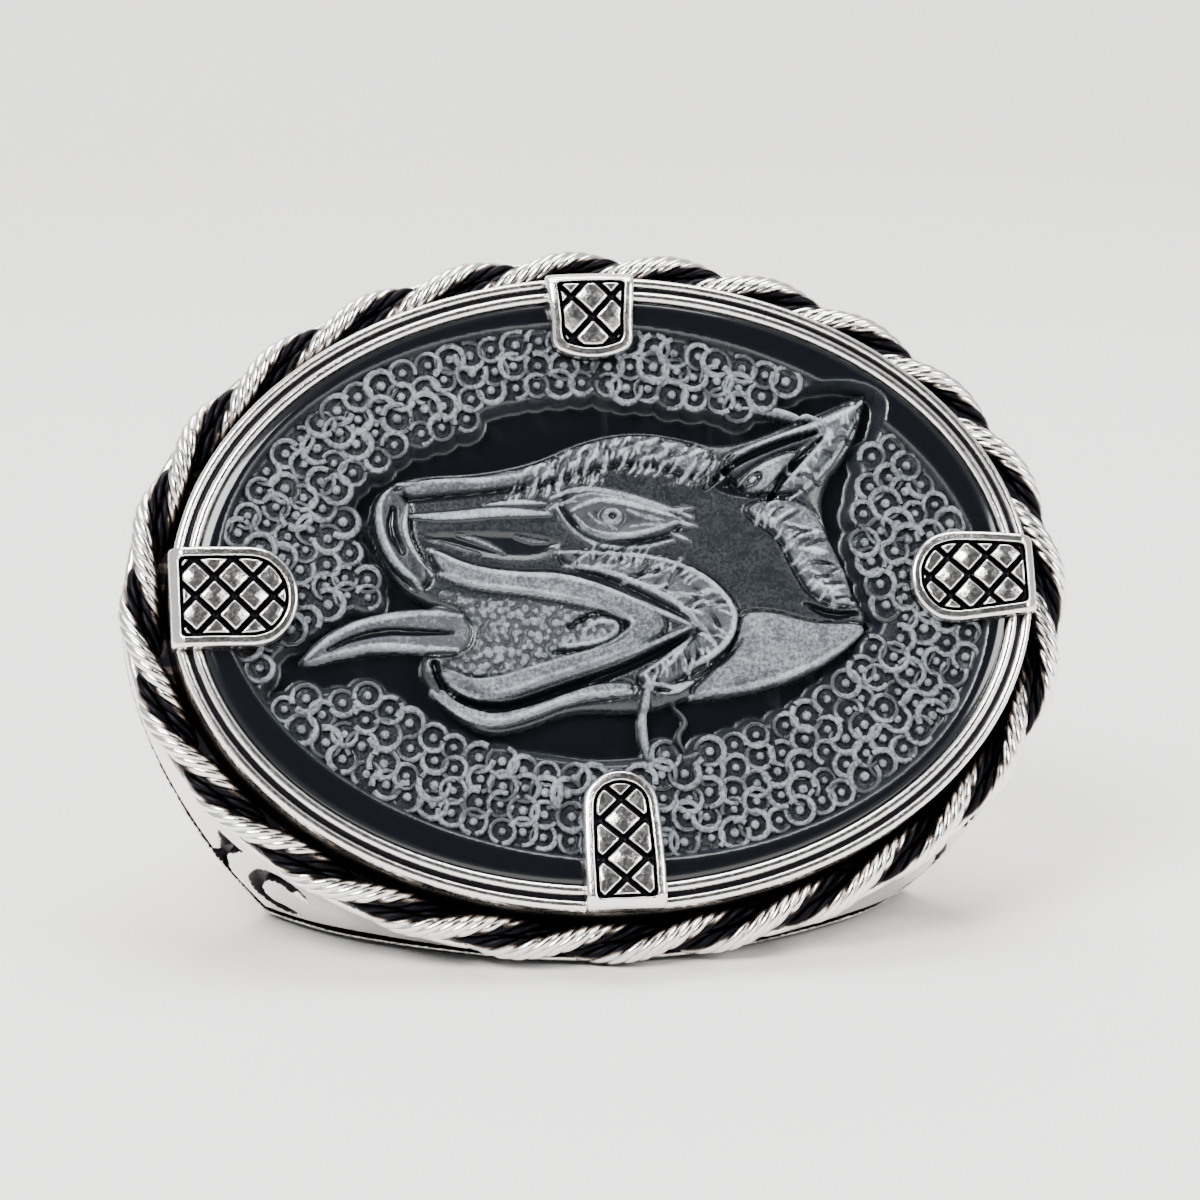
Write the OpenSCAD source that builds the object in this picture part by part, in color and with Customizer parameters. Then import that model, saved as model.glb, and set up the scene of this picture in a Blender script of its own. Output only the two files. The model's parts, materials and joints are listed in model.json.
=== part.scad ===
/* [Finger and band] */
// Inner diameter of the band, millimetres
finger_d = 18.2; // [17.6:0.1:19]
// Thickness of the band behind the finger
band_t = 1.9; // [1.6:0.1:2.4]
// Width of the band behind the finger
band_w = 5.2; // [4.4:0.1:6.4]
// Radius of the hollow curve that the band takes up to the head
flank_r = 14; // [12:0.5:18]

/* [Stone] */
// Length of the oval stone
stone_l = 30; // [29:0.5:31]
// Width of the oval stone
stone_w = 22; // [21.5:0.5:22.5]
// Thickness of the oval stone at its polished rim
stone_t = 3.5; // [3:0.1:4]
// Height of the wolf's brow over the floor cut round the head
relief_h = 1.3; // [0.9:0.1:1.6]

/* [Setting] */
// Metal between the finger and the seat of the stone
floor_t = 2.3; // [1.8:0.1:3]
// Thickness of the bezel wall round the stone
bezel_t = 0.8; // [0.6:0.1:1]
// Thickness of the twisted rope border
rope_d = 1.7; // [1.4:0.1:1.9]
// Number of full twists of the rope in one lap of the head
rope_twists = 12; // [9:1:16]
// Thickness of the claws over the bezel
claw_t = 0.75; // [0.5:0.05:1]

/* [Hidden] */
$fn = 96;

finger_r = finger_d / 2;
band_r = finger_r + band_t;
gap = 0.05;

// The rope lies on a ledge over the seat, and the head's wall goes down from the ledge
ledge_h = 0.9;
rope_proud = 0.35;
wall_h = 2;

// Heights above the middle of the finger, along the direction that the face looks in
seat_n = finger_r + floor_t;
bezel_n = seat_n + stone_t + gap;
ledge_n = seat_n + ledge_h;
rope_n = ledge_n + rope_proud;
claw_n = bezel_n + claw_t;
wall_foot_n = ledge_n - wall_h;

// Half lengths and half widths of the ovals of the head. The rope hangs a little over the wall.
overhang = 0.2;
stone_a = stone_l / 2;
stone_b = stone_w / 2;
bezel_a = stone_a + bezel_t;
bezel_b = stone_b + bezel_t;
rope_a = bezel_a + rope_d / 2 + 0.1;
rope_b = bezel_b + rope_d / 2 - 0.05;
wall_a = rope_a + rope_d / 2 - overhang;
wall_b = rope_b + rope_d / 2 - overhang;

// The band narrows from the head to the back, and the ring lies on one of the two flat sides
side_half = wall_b + 0.15;
lean = atan((side_half - band_w / 2) / (ledge_n + band_r));
lift = band_r * sin(lean) + band_w / 2 * cos(lean);
front_y = -(claw_n * cos(lean) + bezel_b * sin(lean));
back_y = band_r * cos(lean) + band_w / 2 * sin(lean);
mid_y = (front_y + back_y) / 2;

function oval_point(a, b, t) = [a * cos(t), b * sin(t)];

// Angle of the outward normal of an oval at its parameter t
function oval_normal(a, b, t) = atan2(a * sin(t), b * cos(t));

// One round of corner cutting, which turns a few chosen points into a soft outline
function corner_cut(pts) = [
    for (i = [0:len(pts) - 1])
        let (p = pts[i], q = pts[(i + 1) % len(pts)])
            each [0.75 * p + 0.25 * q, 0.25 * p + 0.75 * q]
];

// Whether a point lies inside a closed outline, by counting the edges crossed to its right
function crosses(p, a, b) =
    ((a.y > p.y) != (b.y > p.y)) && (p.x < (b.x - a.x) * (p.y - a.y) / (b.y - a.y) + a.x) ? 1 : 0;
function inside(p, pts) =
    let (hits = [for (i = [0:len(pts) - 1]) crosses(p, pts[i], pts[(i + 1) % len(pts)])])
        (hits * [for (h = hits) 1]) % 2 == 1;

// The head is drawn lying flat, with x along the oval, y towards the fingertip and z outwards
module on_head() {
    rotate([90, 0, 0]) children();
}

// The whole ring is turned from the finger's frame on to its flat side
module at_rest() {
    translate([0, -mid_y, lift]) rotate([-lean, 0, 0]) children();
}

module oval(a, b, h) {
    linear_extrude(height = h) scale([1, b / a]) circle(r = a);
}

// Seen along the finger: a round band with two hollow flanks that rise to the head.
// Each flank bites a little into the round band, so that no edge runs out to nothing.
module band_blank(long) {
    corner = [wall_a, wall_foot_n];
    bite = 0.15;
    reach = band_r + flank_r - bite;
    d = norm(corner);
    along = (reach * reach - flank_r * flank_r + d * d) / (2 * d);
    across = sqrt(reach * reach - along * along);
    flank_c = along * corner / d + across * [corner.y, -corner.x] / d;
    meet = flank_c * (band_r - bite / 2) / reach;
    difference() {
        union() {
            cylinder(r = band_r, h = long, center = true);
            linear_extrude(height = long, center = true) polygon([
                [-meet.x, -meet.y], [-corner.x, -corner.y], [-corner.x, -ledge_n],
                [corner.x, -ledge_n], [corner.x, -corner.y], [meet.x, -meet.y]
            ]);
        }
        for (s = [-1, 1])
            translate([s * flank_c.x, -flank_c.y, 0]) cylinder(r = flank_r, h = long + 2, center = true);
    }
}

// Seen from the side of the finger: wide at the head and narrow at the back
module band_taper(long) {
    rotate([90, 0, 90]) linear_extrude(height = long, center = true) polygon([
        [-ledge_n, -side_half], [band_r, -band_w / 2], [band_r, band_w / 2], [-ledge_n, side_half]
    ]);
}

module band() {
    long = 2 * (wall_a + 1);
    difference() {
        intersection() {
            band_blank(long);
            band_taper(long);
            on_head() translate([0, 0, -band_r - 1]) oval(wall_a, wall_b, band_r + 1 + ledge_n);
        }
        cylinder(r = finger_r, h = long, center = true);
    }
}

// Columns of the claw table: direction round the oval, length, width, width at the root,
// share of the end that is round
CLAWS = [
    [90, 3.2, 3.0, 3.3, 0.55],
    [180, 4.6, 3.8, 3.8, 1],
    [0, 4.6, 3.5, 2.8, 1],
    [270, 5.0, 2.9, 3.8, 1]
];

// Flat outline of a claw, with its root on the left at x = 0 and its tip on the right
module claw_outline(len, wide, root, round_share) {
    tip_r = wide / 2 / round_share;
    tip_depth = tip_r - sqrt(tip_r * tip_r - wide * wide / 4);
    polygon([
        [0, -root / 2], [len - tip_depth, -wide / 2], [len - tip_depth, wide / 2], [0, root / 2]
    ]);
    intersection() {
        translate([len - tip_r, 0]) circle(r = tip_r);
        translate([0, -wide / 2]) square([len, wide]);
    }
}

// Two sets of slanted bars that cross and leave lozenges between them
module lozenge_bars(len) {
    bar_w = 0.3;
    pitch = 1.4;
    slant = 45;
    for (s = [-1, 1], i = [-2:2])
        translate([len / 2 + i * pitch, 0]) rotate(s * slant) square([bar_w, 3 * len], center = true);
}

module claw(len, wide, root, round_share) {
    rim = 0.4;
    cut = 0.3;
    tall = claw_n - ledge_n;
    difference() {
        linear_extrude(height = tall) claw_outline(len, wide, root, round_share);
        translate([0, 0, tall - cut]) linear_extrude(height = 2 * cut) intersection() {
            translate([rim, 0])
                claw_outline(len - 2 * rim, wide - 2 * rim, root - 2 * rim, round_share);
            lozenge_bars(len);
        }
    }
}

module claws() {
    for (c = CLAWS) {
        reach = c[0] % 180 == 0 ? bezel_a : bezel_b;
        rotate(c[0]) translate([reach, 0, ledge_n]) mirror([1, 0]) claw(c[1], c[2], c[3], c[4]);
    }
}

// Two small wedges tip to tip and an open scroll, drawn upright on the wall under the rope
module scroll_cut() {
    depth = 0.5;
    line = 0.45;
    scroll_w = 1.2;
    scroll_h = 1.9;
    mouth = 1.5;
    translate([-2.6, 0, -depth]) linear_extrude(height = 2 * depth)
        polygon([[-0.5, 1.7], [0.6, 1.3], [0.15, 0], [0.6, -1.3], [-0.5, -1.7], [-0.15, 0]]);
    translate([0, 0, -depth]) difference() {
        oval(scroll_w, scroll_h, 2 * depth);
        translate([0, 0, -depth]) oval(scroll_w - line, scroll_h - line, 4 * depth);
        translate([0, -mouth / 2, -depth]) cube([2 * scroll_w, mouth, 4 * depth]);
    }
}

// One scroll on each shoulder of the wall, the four turned to face each other in pairs
module wall_scrolls() {
    for (t = [47, 133, 227, 313])
        translate([wall_a * cos(t), wall_b * sin(t), ledge_n - 2.9])
            rotate([0, 0, oval_normal(wall_a, wall_b, t)]) rotate([90, 0, 90])
                mirror([sin(2 * t) > 0 ? 0 : 1, 0, 0]) scroll_cut();
}

// Distance run along the rope's oval against the oval's parameter, for even twists
rope_steps = 72;
rope_path = [for (i = [0:rope_steps]) oval_point(rope_a, rope_b, 360 * i / rope_steps)];
rope_legs = [for (i = [0:rope_steps]) i == 0 ? 0 : norm(rope_path[i] - rope_path[i - 1])];
function run(i) = i == 0 ? 0 : run(i - 1) + rope_legs[i];
rope_table = [for (i = [0:rope_steps]) [run(i) / run(rope_steps), 360 * i / rope_steps]];

// Two strands laid side by side: the section's radius at an angle from the line between them
function strand_radius(f) = rope_d / 2 * (0.52 + 0.48 * pow(cos(f), 2));

module rope() {
    rings = 11 * rope_twists;
    sides = 12;
    pts = [
        for (i = [0:rings - 1])
            let (
                t = lookup(i / rings, rope_table),
                c = oval_point(rope_a, rope_b, t),
                dir = oval_normal(rope_a, rope_b, t),
                turn = 360 * rope_twists * i / rings
            )
            for (k = [0:sides - 1])
                let (f = 360 * k / sides, r = strand_radius(f), across = r * cos(f + turn))
                    [c.x + across * cos(dir), c.y + across * sin(dir), rope_n + r * sin(f + turn)]
    ];
    faces = [
        for (i = [0:rings - 1], k = [0:sides - 1])
            let (
                a = i * sides + k, b = i * sides + (k + 1) % sides,
                c = (i + 1) % rings * sides + (k + 1) % sides, d = (i + 1) % rings * sides + k
            )
                each [[a, b, c], [a, c, d]]
    ];
    polyhedron(points = pts, faces = faces);
}

module bezel() {
    translate([0, 0, seat_n]) oval(bezel_a, bezel_b, bezel_n - seat_n);
}

// The stone's pocket, and the fine groove that runs round the top of the bezel
module bezel_cuts() {
    groove_w = 0.25;
    groove_h = 0.2;
    outer = bezel_t / 2 + groove_w / 2;
    inner = bezel_t / 2 - groove_w / 2;
    translate([0, 0, seat_n]) oval(stone_a + gap, stone_b + gap, bezel_n - seat_n);
    translate([0, 0, bezel_n - groove_h]) difference() {
        oval(stone_a + outer, stone_b + outer, groove_h);
        oval(stone_a + inner, stone_b + inner, groove_h);
    }
}

module ring_body() {
    color("silver") at_rest() {
        difference() {
            union() {
                band();
                on_head() bezel();
                on_head() claws();
            }
            on_head() bezel_cuts();
            on_head() wall_scrolls();
        }
        on_head() rope();
    }
}

// Heights of the polished rim, of the floor cut round the head and of the field of small rings
rim_n = seat_n + stone_t;
moat_n = rim_n - 1.1;
field_n = rim_n - 0.4;
head_share = 0.6;

// The field is an oval turned a little inside the stone's own
field_a = stone_a - 1;
field_b = stone_b - 1.1;
field_turn = -5;

// Small rings with a core that fill the field: spacing along a row and between rows, and radii
ringlet_pitch = 1.22;
row_pitch = 1.14;
first_row = 0.52;
ringlet_r = 0.56;
ringlet_bore = 0.37;
ringlet_core = 0.16;
sink = 0.05;

// Each outline below is a closed list of [along the oval, towards the fingertip] in millimetres
HEAD = [
    [-8.4, 2.3], [-8.5, 3.4], [-7.9, 4.2], [-6.6, 4.6], [-4.4, 4.6], [-2.3, 5.0], [-0.5, 5.8],
    [1.4, 6.1], [3.2, 5.8], [4.8, 5.3], [7.6, 6.3], [10.3, 7.4], [10.2, 7.0], [9.6, 5.1], [8.1, 3.4],
    [8.6, 1.3], [9.2, -0.4], [9.9, -1.4], [8.1, -2.6], [5.8, -3.5], [2.7, -4.1], [1.2, -4.6],
    [-1.4, -4.4], [-3.0, -5.0], [-4.5, -5.3], [-5.7, -4.6], [-6.7, -3.4], [-7.0, -2.5],
    [-6.3, -1.6], [-6.3, -0.4], [-7.1, 0.0], [-8.0, 1.1]
];
TONGUE = [
    [-5.6, -0.4], [-8.4, -0.5], [-10.2, -1.1], [-11.3, -2.2], [-11.2, -2.4], [-9.2, -2.0],
    [-7.2, -2.0], [-5.6, -2.3]
];
BROW = [
    [-7.6, 3.9], [-6.4, 4.3], [-4.4, 4.3], [-2.2, 4.7], [-0.4, 5.5], [1.4, 5.8], [3.1, 5.5],
    [4.4, 4.9], [3.6, 4.1], [2.2, 4.7], [0.5, 4.8], [-1.2, 4.3], [-3.2, 3.9], [-5.6, 3.7], [-7.2, 3.6]
];
NOSE = [
    [-7.7, 3.6], [-8.1, 3.2], [-8.1, 2.3], [-7.7, 1.2], [-6.9, 0.3], [-6.4, 0.6], [-6.9, 1.5],
    [-7.2, 2.4], [-7.1, 3.2]
];
EYE = [
    [-1.5, 3.3], [-0.6, 3.8], [0.6, 3.6], [1.8, 3.1], [3.0, 2.6], [2.5, 2.0], [1.0, 1.8],
    [-0.4, 2.1], [-1.1, 2.7]
];
LIPS = [
    [-6.4, 1.8], [-4.9, 1.0], [-3.0, 0.7], [-1.6, 0.7], [0.4, 0.0], [2.6, -1.3], [0.7, -2.4],
    [-2.3, -3.3], [-4.4, -4.0], [-6.2, -3.1], [-5.9, -2.7], [-4.8, -3.3], [-2.3, -2.6], [0.1, -2.0],
    [0.8, -1.3], [0.1, -0.6], [-1.2, -0.4], [-3.0, 0.0], [-4.8, 0.2], [-6.0, 0.8]
];
JAW = [
    [-6.4, -3.6], [-5.4, -4.4], [-4.4, -4.9], [-3.0, -4.6], [-1.5, -4.0], [0.6, -3.9], [0.9, -3.4],
    [-1.4, -3.5], [-3.0, -4.1], [-4.4, -4.5], [-5.3, -4.0], [-6.1, -3.4]
];
CHEEK = [
    [-1.7, 1.5], [0.2, 1.4], [2.1, 1.2], [3.9, 0.4], [5.0, -1.1], [4.4, -2.4], [2.8, -3.2], [1.4, -3.9],
    [0.9, -3.2], [2.2, -2.5], [3.4, -1.8], [3.1, -1.1], [2.2, -0.6], [0.4, 0.4], [-1.3, 0.9]
];
THROAT = [
    [5.5, -1.2], [7.2, -0.9], [9.3, -1.4], [7.8, -2.3], [5.8, -3.1], [3.3, -3.6], [4.8, -2.5]
];
RUFF = [
    [5.2, 2.8], [6.5, 2.0], [7.0, 0.7], [7.5, -0.3], [8.7, -0.6], [8.9, 0.1], [8.3, 1.2],
    [7.7, 2.7], [6.9, 3.2], [5.9, 3.3]
];
EAR = [
    [4.8, 4.9], [6.4, 5.5], [8.0, 6.1], [10.0, 7.0], [9.3, 5.3], [8.5, 4.6], [7.7, 3.6], [6.6, 3.4],
    [5.4, 3.6], [4.8, 4.2]
];
EAR_HOLLOW = [
    [5.3, 4.0], [5.3, 4.5], [6.4, 5.1], [8.3, 5.6], [7.2, 4.4], [6.3, 3.8]
];
MOAT = [
    [-9.6, 2.4], [-8.9, 4.4], [-7.2, 5.6], [-5.0, 6.6], [-2.6, 7.3], [0.2, 7.6], [2.8, 7.3], [4.8, 6.5],
    [6.6, 7.2], [9.0, 7.7], [10.9, 7.2], [10.5, 5.6], [9.2, 3.2], [9.7, 1.6], [10.1, 0.0], [10.4, -1.6],
    [8.4, -3.3], [6.9, -4.6], [4.8, -5.6], [2.6, -6.2], [-0.4, -6.5], [-2.4, -6.1], [-4.2, -5.8],
    [-6.0, -5.4], [-7.2, -4.6], [-8.4, -3.5], [-11.0, -3.4], [-12.6, -3.9], [-12.6, -2.9],
    [-11.8, -1.6], [-10.2, -0.5], [-8.0, 0.1], [-8.8, 1.2]
];

// Columns of the relief table: outline, height as a share of the brow's
RELIEF = [
    [TONGUE, 0.5],
    [HEAD, head_share],
    [BROW, 1],
    [NOSE, 0.95],
    [EYE, 0.85],
    [LIPS, 0.85],
    [JAW, 0.75],
    [CHEEK, 0.9],
    [THROAT, 0.8],
    [RUFF, 0.85],
    [EAR, 0.95]
];

function turned(p, a) = [p.x * cos(a) - p.y * sin(a), p.x * sin(a) + p.y * cos(a)];

// Whether a ringlet at p stands clear of the floor cut round the head
function clear_of_moat(p) =
    len([for (t = [0:60:300]) if (inside(p + ringlet_r * [cos(t), sin(t)], MOAT)) 1]) == 0;

// Rows of places that follow the field's edge inwards, one ringlet apart
RINGLETS = [
    for (row = [0:4])
        let (
            a = field_a - (row + first_row) * row_pitch,
            b = field_b - (row + first_row) * row_pitch,
            count = floor(PI * (a + b) / ringlet_pitch)
        )
            for (i = [0:count - 1])
                let (
                    t = 360 * (i + row % 2 / 2) / count,
                    even = t + (a - b) / (a + b) * sin(2 * t) * 90 / PI,
                    p = turned(oval_point(a, b, even), field_turn)
                )
                    if (clear_of_moat(p)) p
];

module ringlet() {
    tall = rim_n - field_n;
    difference() {
        translate([0, 0, -sink]) cylinder(r = ringlet_r, h = tall + sink, $fn = 6);
        translate([0, 0, sink]) cylinder(r = ringlet_bore, h = tall, $fn = 6);
    }
    cylinder(r = ringlet_core, h = tall, $fn = 6);
}

module relief() {
    difference() {
        for (r = RELIEF)
            translate([0, 0, moat_n - sink]) linear_extrude(height = sink + r[1] * relief_h)
                polygon(corner_cut(r[0]));
        translate([0, 0, moat_n + head_share * relief_h]) linear_extrude(height = relief_h)
            polygon(corner_cut(EAR_HOLLOW));
    }
}

module carved_stone() {
    color("dimgray") at_rest() on_head() {
        difference() {
            translate([0, 0, seat_n + gap]) oval(stone_a, stone_b, stone_t - gap);
            translate([0, 0, field_n]) rotate(field_turn) oval(field_a, field_b, stone_t);
            translate([0, 0, moat_n]) linear_extrude(height = stone_t) polygon(corner_cut(MOAT));
        }
        relief();
        for (p = RINGLETS) translate([p.x, p.y, field_n]) ringlet();
    }
}

ring_body();
carved_stone();
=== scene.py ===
"""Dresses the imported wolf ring: antiqued cast silver round an engraved black agate.

Sizes are millimetres in the head's own axes, which are u along the oval, v towards the
fingertip and n out of the face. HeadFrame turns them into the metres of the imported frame.
"""

import json
import logging
import math
from dataclasses import dataclass, field
from enum import Enum
from typing import Any, Callable, Sequence

import bpy
import numpy as np
from mathutils import Matrix, Vector

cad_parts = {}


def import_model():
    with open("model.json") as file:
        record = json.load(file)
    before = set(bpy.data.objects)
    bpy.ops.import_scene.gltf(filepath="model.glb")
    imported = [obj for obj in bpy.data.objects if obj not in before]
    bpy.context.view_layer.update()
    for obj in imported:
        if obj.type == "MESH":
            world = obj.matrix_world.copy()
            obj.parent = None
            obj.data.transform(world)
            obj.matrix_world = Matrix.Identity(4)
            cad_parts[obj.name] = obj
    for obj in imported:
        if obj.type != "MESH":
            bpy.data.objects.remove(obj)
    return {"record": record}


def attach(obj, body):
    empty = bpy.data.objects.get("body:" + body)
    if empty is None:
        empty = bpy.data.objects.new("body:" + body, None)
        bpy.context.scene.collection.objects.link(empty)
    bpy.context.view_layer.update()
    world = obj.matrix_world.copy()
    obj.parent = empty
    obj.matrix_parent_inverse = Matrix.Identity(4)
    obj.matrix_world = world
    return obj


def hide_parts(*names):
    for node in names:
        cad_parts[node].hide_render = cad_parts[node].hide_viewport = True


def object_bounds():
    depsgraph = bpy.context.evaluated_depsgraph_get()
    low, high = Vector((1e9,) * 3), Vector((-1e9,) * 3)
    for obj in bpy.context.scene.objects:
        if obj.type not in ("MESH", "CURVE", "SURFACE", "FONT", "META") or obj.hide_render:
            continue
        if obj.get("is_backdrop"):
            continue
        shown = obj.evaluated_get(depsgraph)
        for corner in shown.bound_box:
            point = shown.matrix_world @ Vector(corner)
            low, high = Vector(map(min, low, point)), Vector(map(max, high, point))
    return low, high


Array = np.ndarray
Point = tuple[float, float]
Point3 = tuple[float, float, float]
Line = tuple[Point, ...]
Box = tuple[slice, slice]
Rule = Callable[[Array, Array, Array], Array]
Inputs = dict[str | int, Any]
Nodes = bpy.types.NodeTree
Socket = bpy.types.NodeSocket
Material = bpy.types.Material
Mesh = bpy.types.Mesh
Piece = bpy.types.Object

MM = 0.001
log = logging.getLogger("wolf_ring")


def linear(hex_colour: str) -> tuple[float, ...]:
    """Turns an sRGB hex colour into Blender's linear one, with an alpha of one."""
    parts = [int(hex_colour[i : i + 2], 16) / 255 for i in (1, 3, 5)]
    return (*(c / 12.92 if c <= 0.04045 else ((c + 0.055) / 1.055) ** 2.4 for c in parts), 1.0)


def add_node(tree: Nodes, kind: str, links: Inputs | None = None, **settings: Any) -> bpy.types.Node:
    """Adds one node with its settings, and links or sets its inputs.

    Args:
        tree: The node tree that gets the node.
        kind: The node's type name.
        links: For each input, another node's socket to link or a value to set.
        **settings: Properties of the node itself.

    Returns:
        The new node.
    """
    node = tree.nodes.new(kind)
    for name, value in settings.items():
        setattr(node, name, value)
    for key, value in (links or {}).items():
        if isinstance(value, bpy.types.NodeSocket):
            tree.links.new(value, node.inputs[key])
        else:
            node.inputs[key].default_value = value
    return node


def maths(tree: Nodes, operation: str, *values: Any, clamp: bool = False) -> Socket:
    """Adds a sum, product or the like of some values, and gives its result."""
    inputs = dict(enumerate(values))
    return add_node(tree, "ShaderNodeMath", inputs, operation=operation, use_clamp=clamp).outputs[0]


def vector_maths(tree: Nodes, operation: str, inputs: Inputs) -> Socket:
    """Adds a sum, product or the like of vectors, and gives the vector that results."""
    return add_node(tree, "ShaderNodeVectorMath", inputs, operation=operation).outputs[0]


def map_range(tree: Nodes, value: Socket, old: Point, new: Point, smooth: bool = False) -> Socket:
    """Adds the map of a value from an old range to a new one, and gives its result.

    Args:
        tree: The node tree.
        value: What is mapped.
        old: The range that it has.
        new: The range that it gets, which it never leaves.
        smooth: Whether it eases in and out of the new range.

    Returns:
        The mapped value.
    """
    names = ("Value", "From Min", "From Max", "To Min", "To Max")
    kind = "SMOOTHSTEP" if smooth else "LINEAR"
    inputs = dict(zip(names, (value, *old, *new)))
    return add_node(tree, "ShaderNodeMapRange", inputs, interpolation_type=kind).outputs[0]


def ramp(tree: Nodes, value: Socket, stops: Sequence[tuple[float, str]]) -> Socket:
    """Adds a colour ramp.

    Args:
        tree: The node tree.
        value: What runs along the ramp.
        stops: Places and hex colours, from the lowest place to the highest.

    Returns:
        The colour.
    """
    node = add_node(tree, "ShaderNodeValToRGB", {"Fac": value})
    elements = node.color_ramp.elements
    for element, (place, colour) in zip(elements, (stops[0], stops[-1])):
        element.position = place
        element.color = linear(colour)
    for place, colour in stops[1:-1]:
        elements.new(place).color = linear(colour)
    return node.outputs["Color"]


def attribute(tree: Nodes, name: str) -> Socket:
    """Adds the reading of a number that each vertex of a piece keeps."""
    return add_node(tree, "ShaderNodeAttribute", attribute_name=name).outputs["Fac"]


def bumped(tree: Nodes, height: Socket, depth_mm: float, strength: float) -> Socket:
    """Adds fine relief of a real depth, and gives the surface's normal."""
    inputs = {"Height": height, "Distance": depth_mm * MM, "Strength": strength}
    return add_node(tree, "ShaderNodeBump", inputs).outputs["Normal"]


def new_material(name: str) -> tuple[Material, Nodes]:
    """Starts a material with an empty node tree.

    Args:
        name: The material's name.

    Returns:
        The material and its tree.
    """
    made = bpy.data.materials.new(name)
    made.use_nodes = True
    made.node_tree.nodes.clear()
    return made, made.node_tree


def end_material(tree: Nodes, inputs: Inputs) -> None:
    """Ends a material's tree with its shader."""
    shader = add_node(tree, "ShaderNodeBsdfPrincipled", inputs)
    add_node(tree, "ShaderNodeOutputMaterial", {"Surface": shader.outputs[0]})


def step_up(x: Array, low: float, high: float) -> Array:
    """Rises smoothly from 0 at low to 1 at high, or falls if low is above high."""
    t = np.clip((x - low) / (high - low), 0.0, 1.0)
    return t * t * (3 - 2 * t)


def smooth_max(a: Array, b: Array, k: float) -> Array:
    """The larger of two rules, with the edge where they meet rounded over a width k."""
    h = np.clip(0.5 + 0.5 * (a - b) / k, 0.0, 1.0)
    return b + h * (a - b) + k * h * (1 - h)


def smooth_min(a: Array, b: Array, k: float) -> Array:
    """The smaller of two rules, with the inner corner where they meet filled over a width k."""
    return -smooth_max(-a, -b, k)


class Slot(Enum):
    """The record's material slots."""

    SILVER = "silver"
    STONE = "stone"


@dataclass(frozen=True)
class HeadFrame:
    """Where the head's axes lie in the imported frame.

    Attributes:
        centre: Middle of the finger hole, in metres.
        up: Direction of the finger hole, towards the fingertip.
    """

    centre: Vector
    up: Vector

    @classmethod
    def from_record(cls, record: dict[str, Any]) -> "HeadFrame":
        """Reads the finger hole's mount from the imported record."""
        mount = next(m for m in record["mounts"] if m["name"] == "finger_bore")
        return cls(Vector(mount["pos_m"]), Vector(mount["axis"]).normalized())

    @property
    def matrix(self) -> Matrix:
        """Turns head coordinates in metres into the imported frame.

        Returns:
            The turn and the shift in one.
        """
        along = Vector((1.0, 0.0, 0.0))
        columns = Matrix((along, self.up, along.cross(self.up))).transposed()
        return Matrix.Translation(self.centre) @ columns.to_4x4()


@dataclass(frozen=True)
class Oval:
    """An oval about the head's middle, with half length a and half width b."""

    a: float
    b: float
    turn_deg: float = 0.0

    @property
    def turn(self) -> Point:
        """Cosine and sine of its turn."""
        angle = math.radians(self.turn_deg)
        return math.cos(angle), math.sin(angle)

    def distance(self, u: Array, v: Array) -> Array:
        """Measures the distance to the oval, near enough close to it and negative inside.

        Args:
            u: Places along the oval.
            v: Places towards the fingertip.

        Returns:
            The distance at each place.
        """
        c, s = self.turn
        x, y = u * c + v * s, v * c - u * s
        first = np.sqrt((x / self.a) ** 2 + (y / self.b) ** 2) + 1e-9
        second = np.sqrt((x / self.a**2) ** 2 + (y / self.b**2) ** 2) + 1e-9
        return first * (first - 1) / second

    def place(self, t: float) -> Point:
        """Finds a point of the oval.

        Args:
            t: The oval's parameter, in radians.

        Returns:
            The point there.
        """
        c, s = self.turn
        x, y = self.a * math.cos(t), self.b * math.sin(t)
        return x * c - y * s, x * s + y * c


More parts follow.
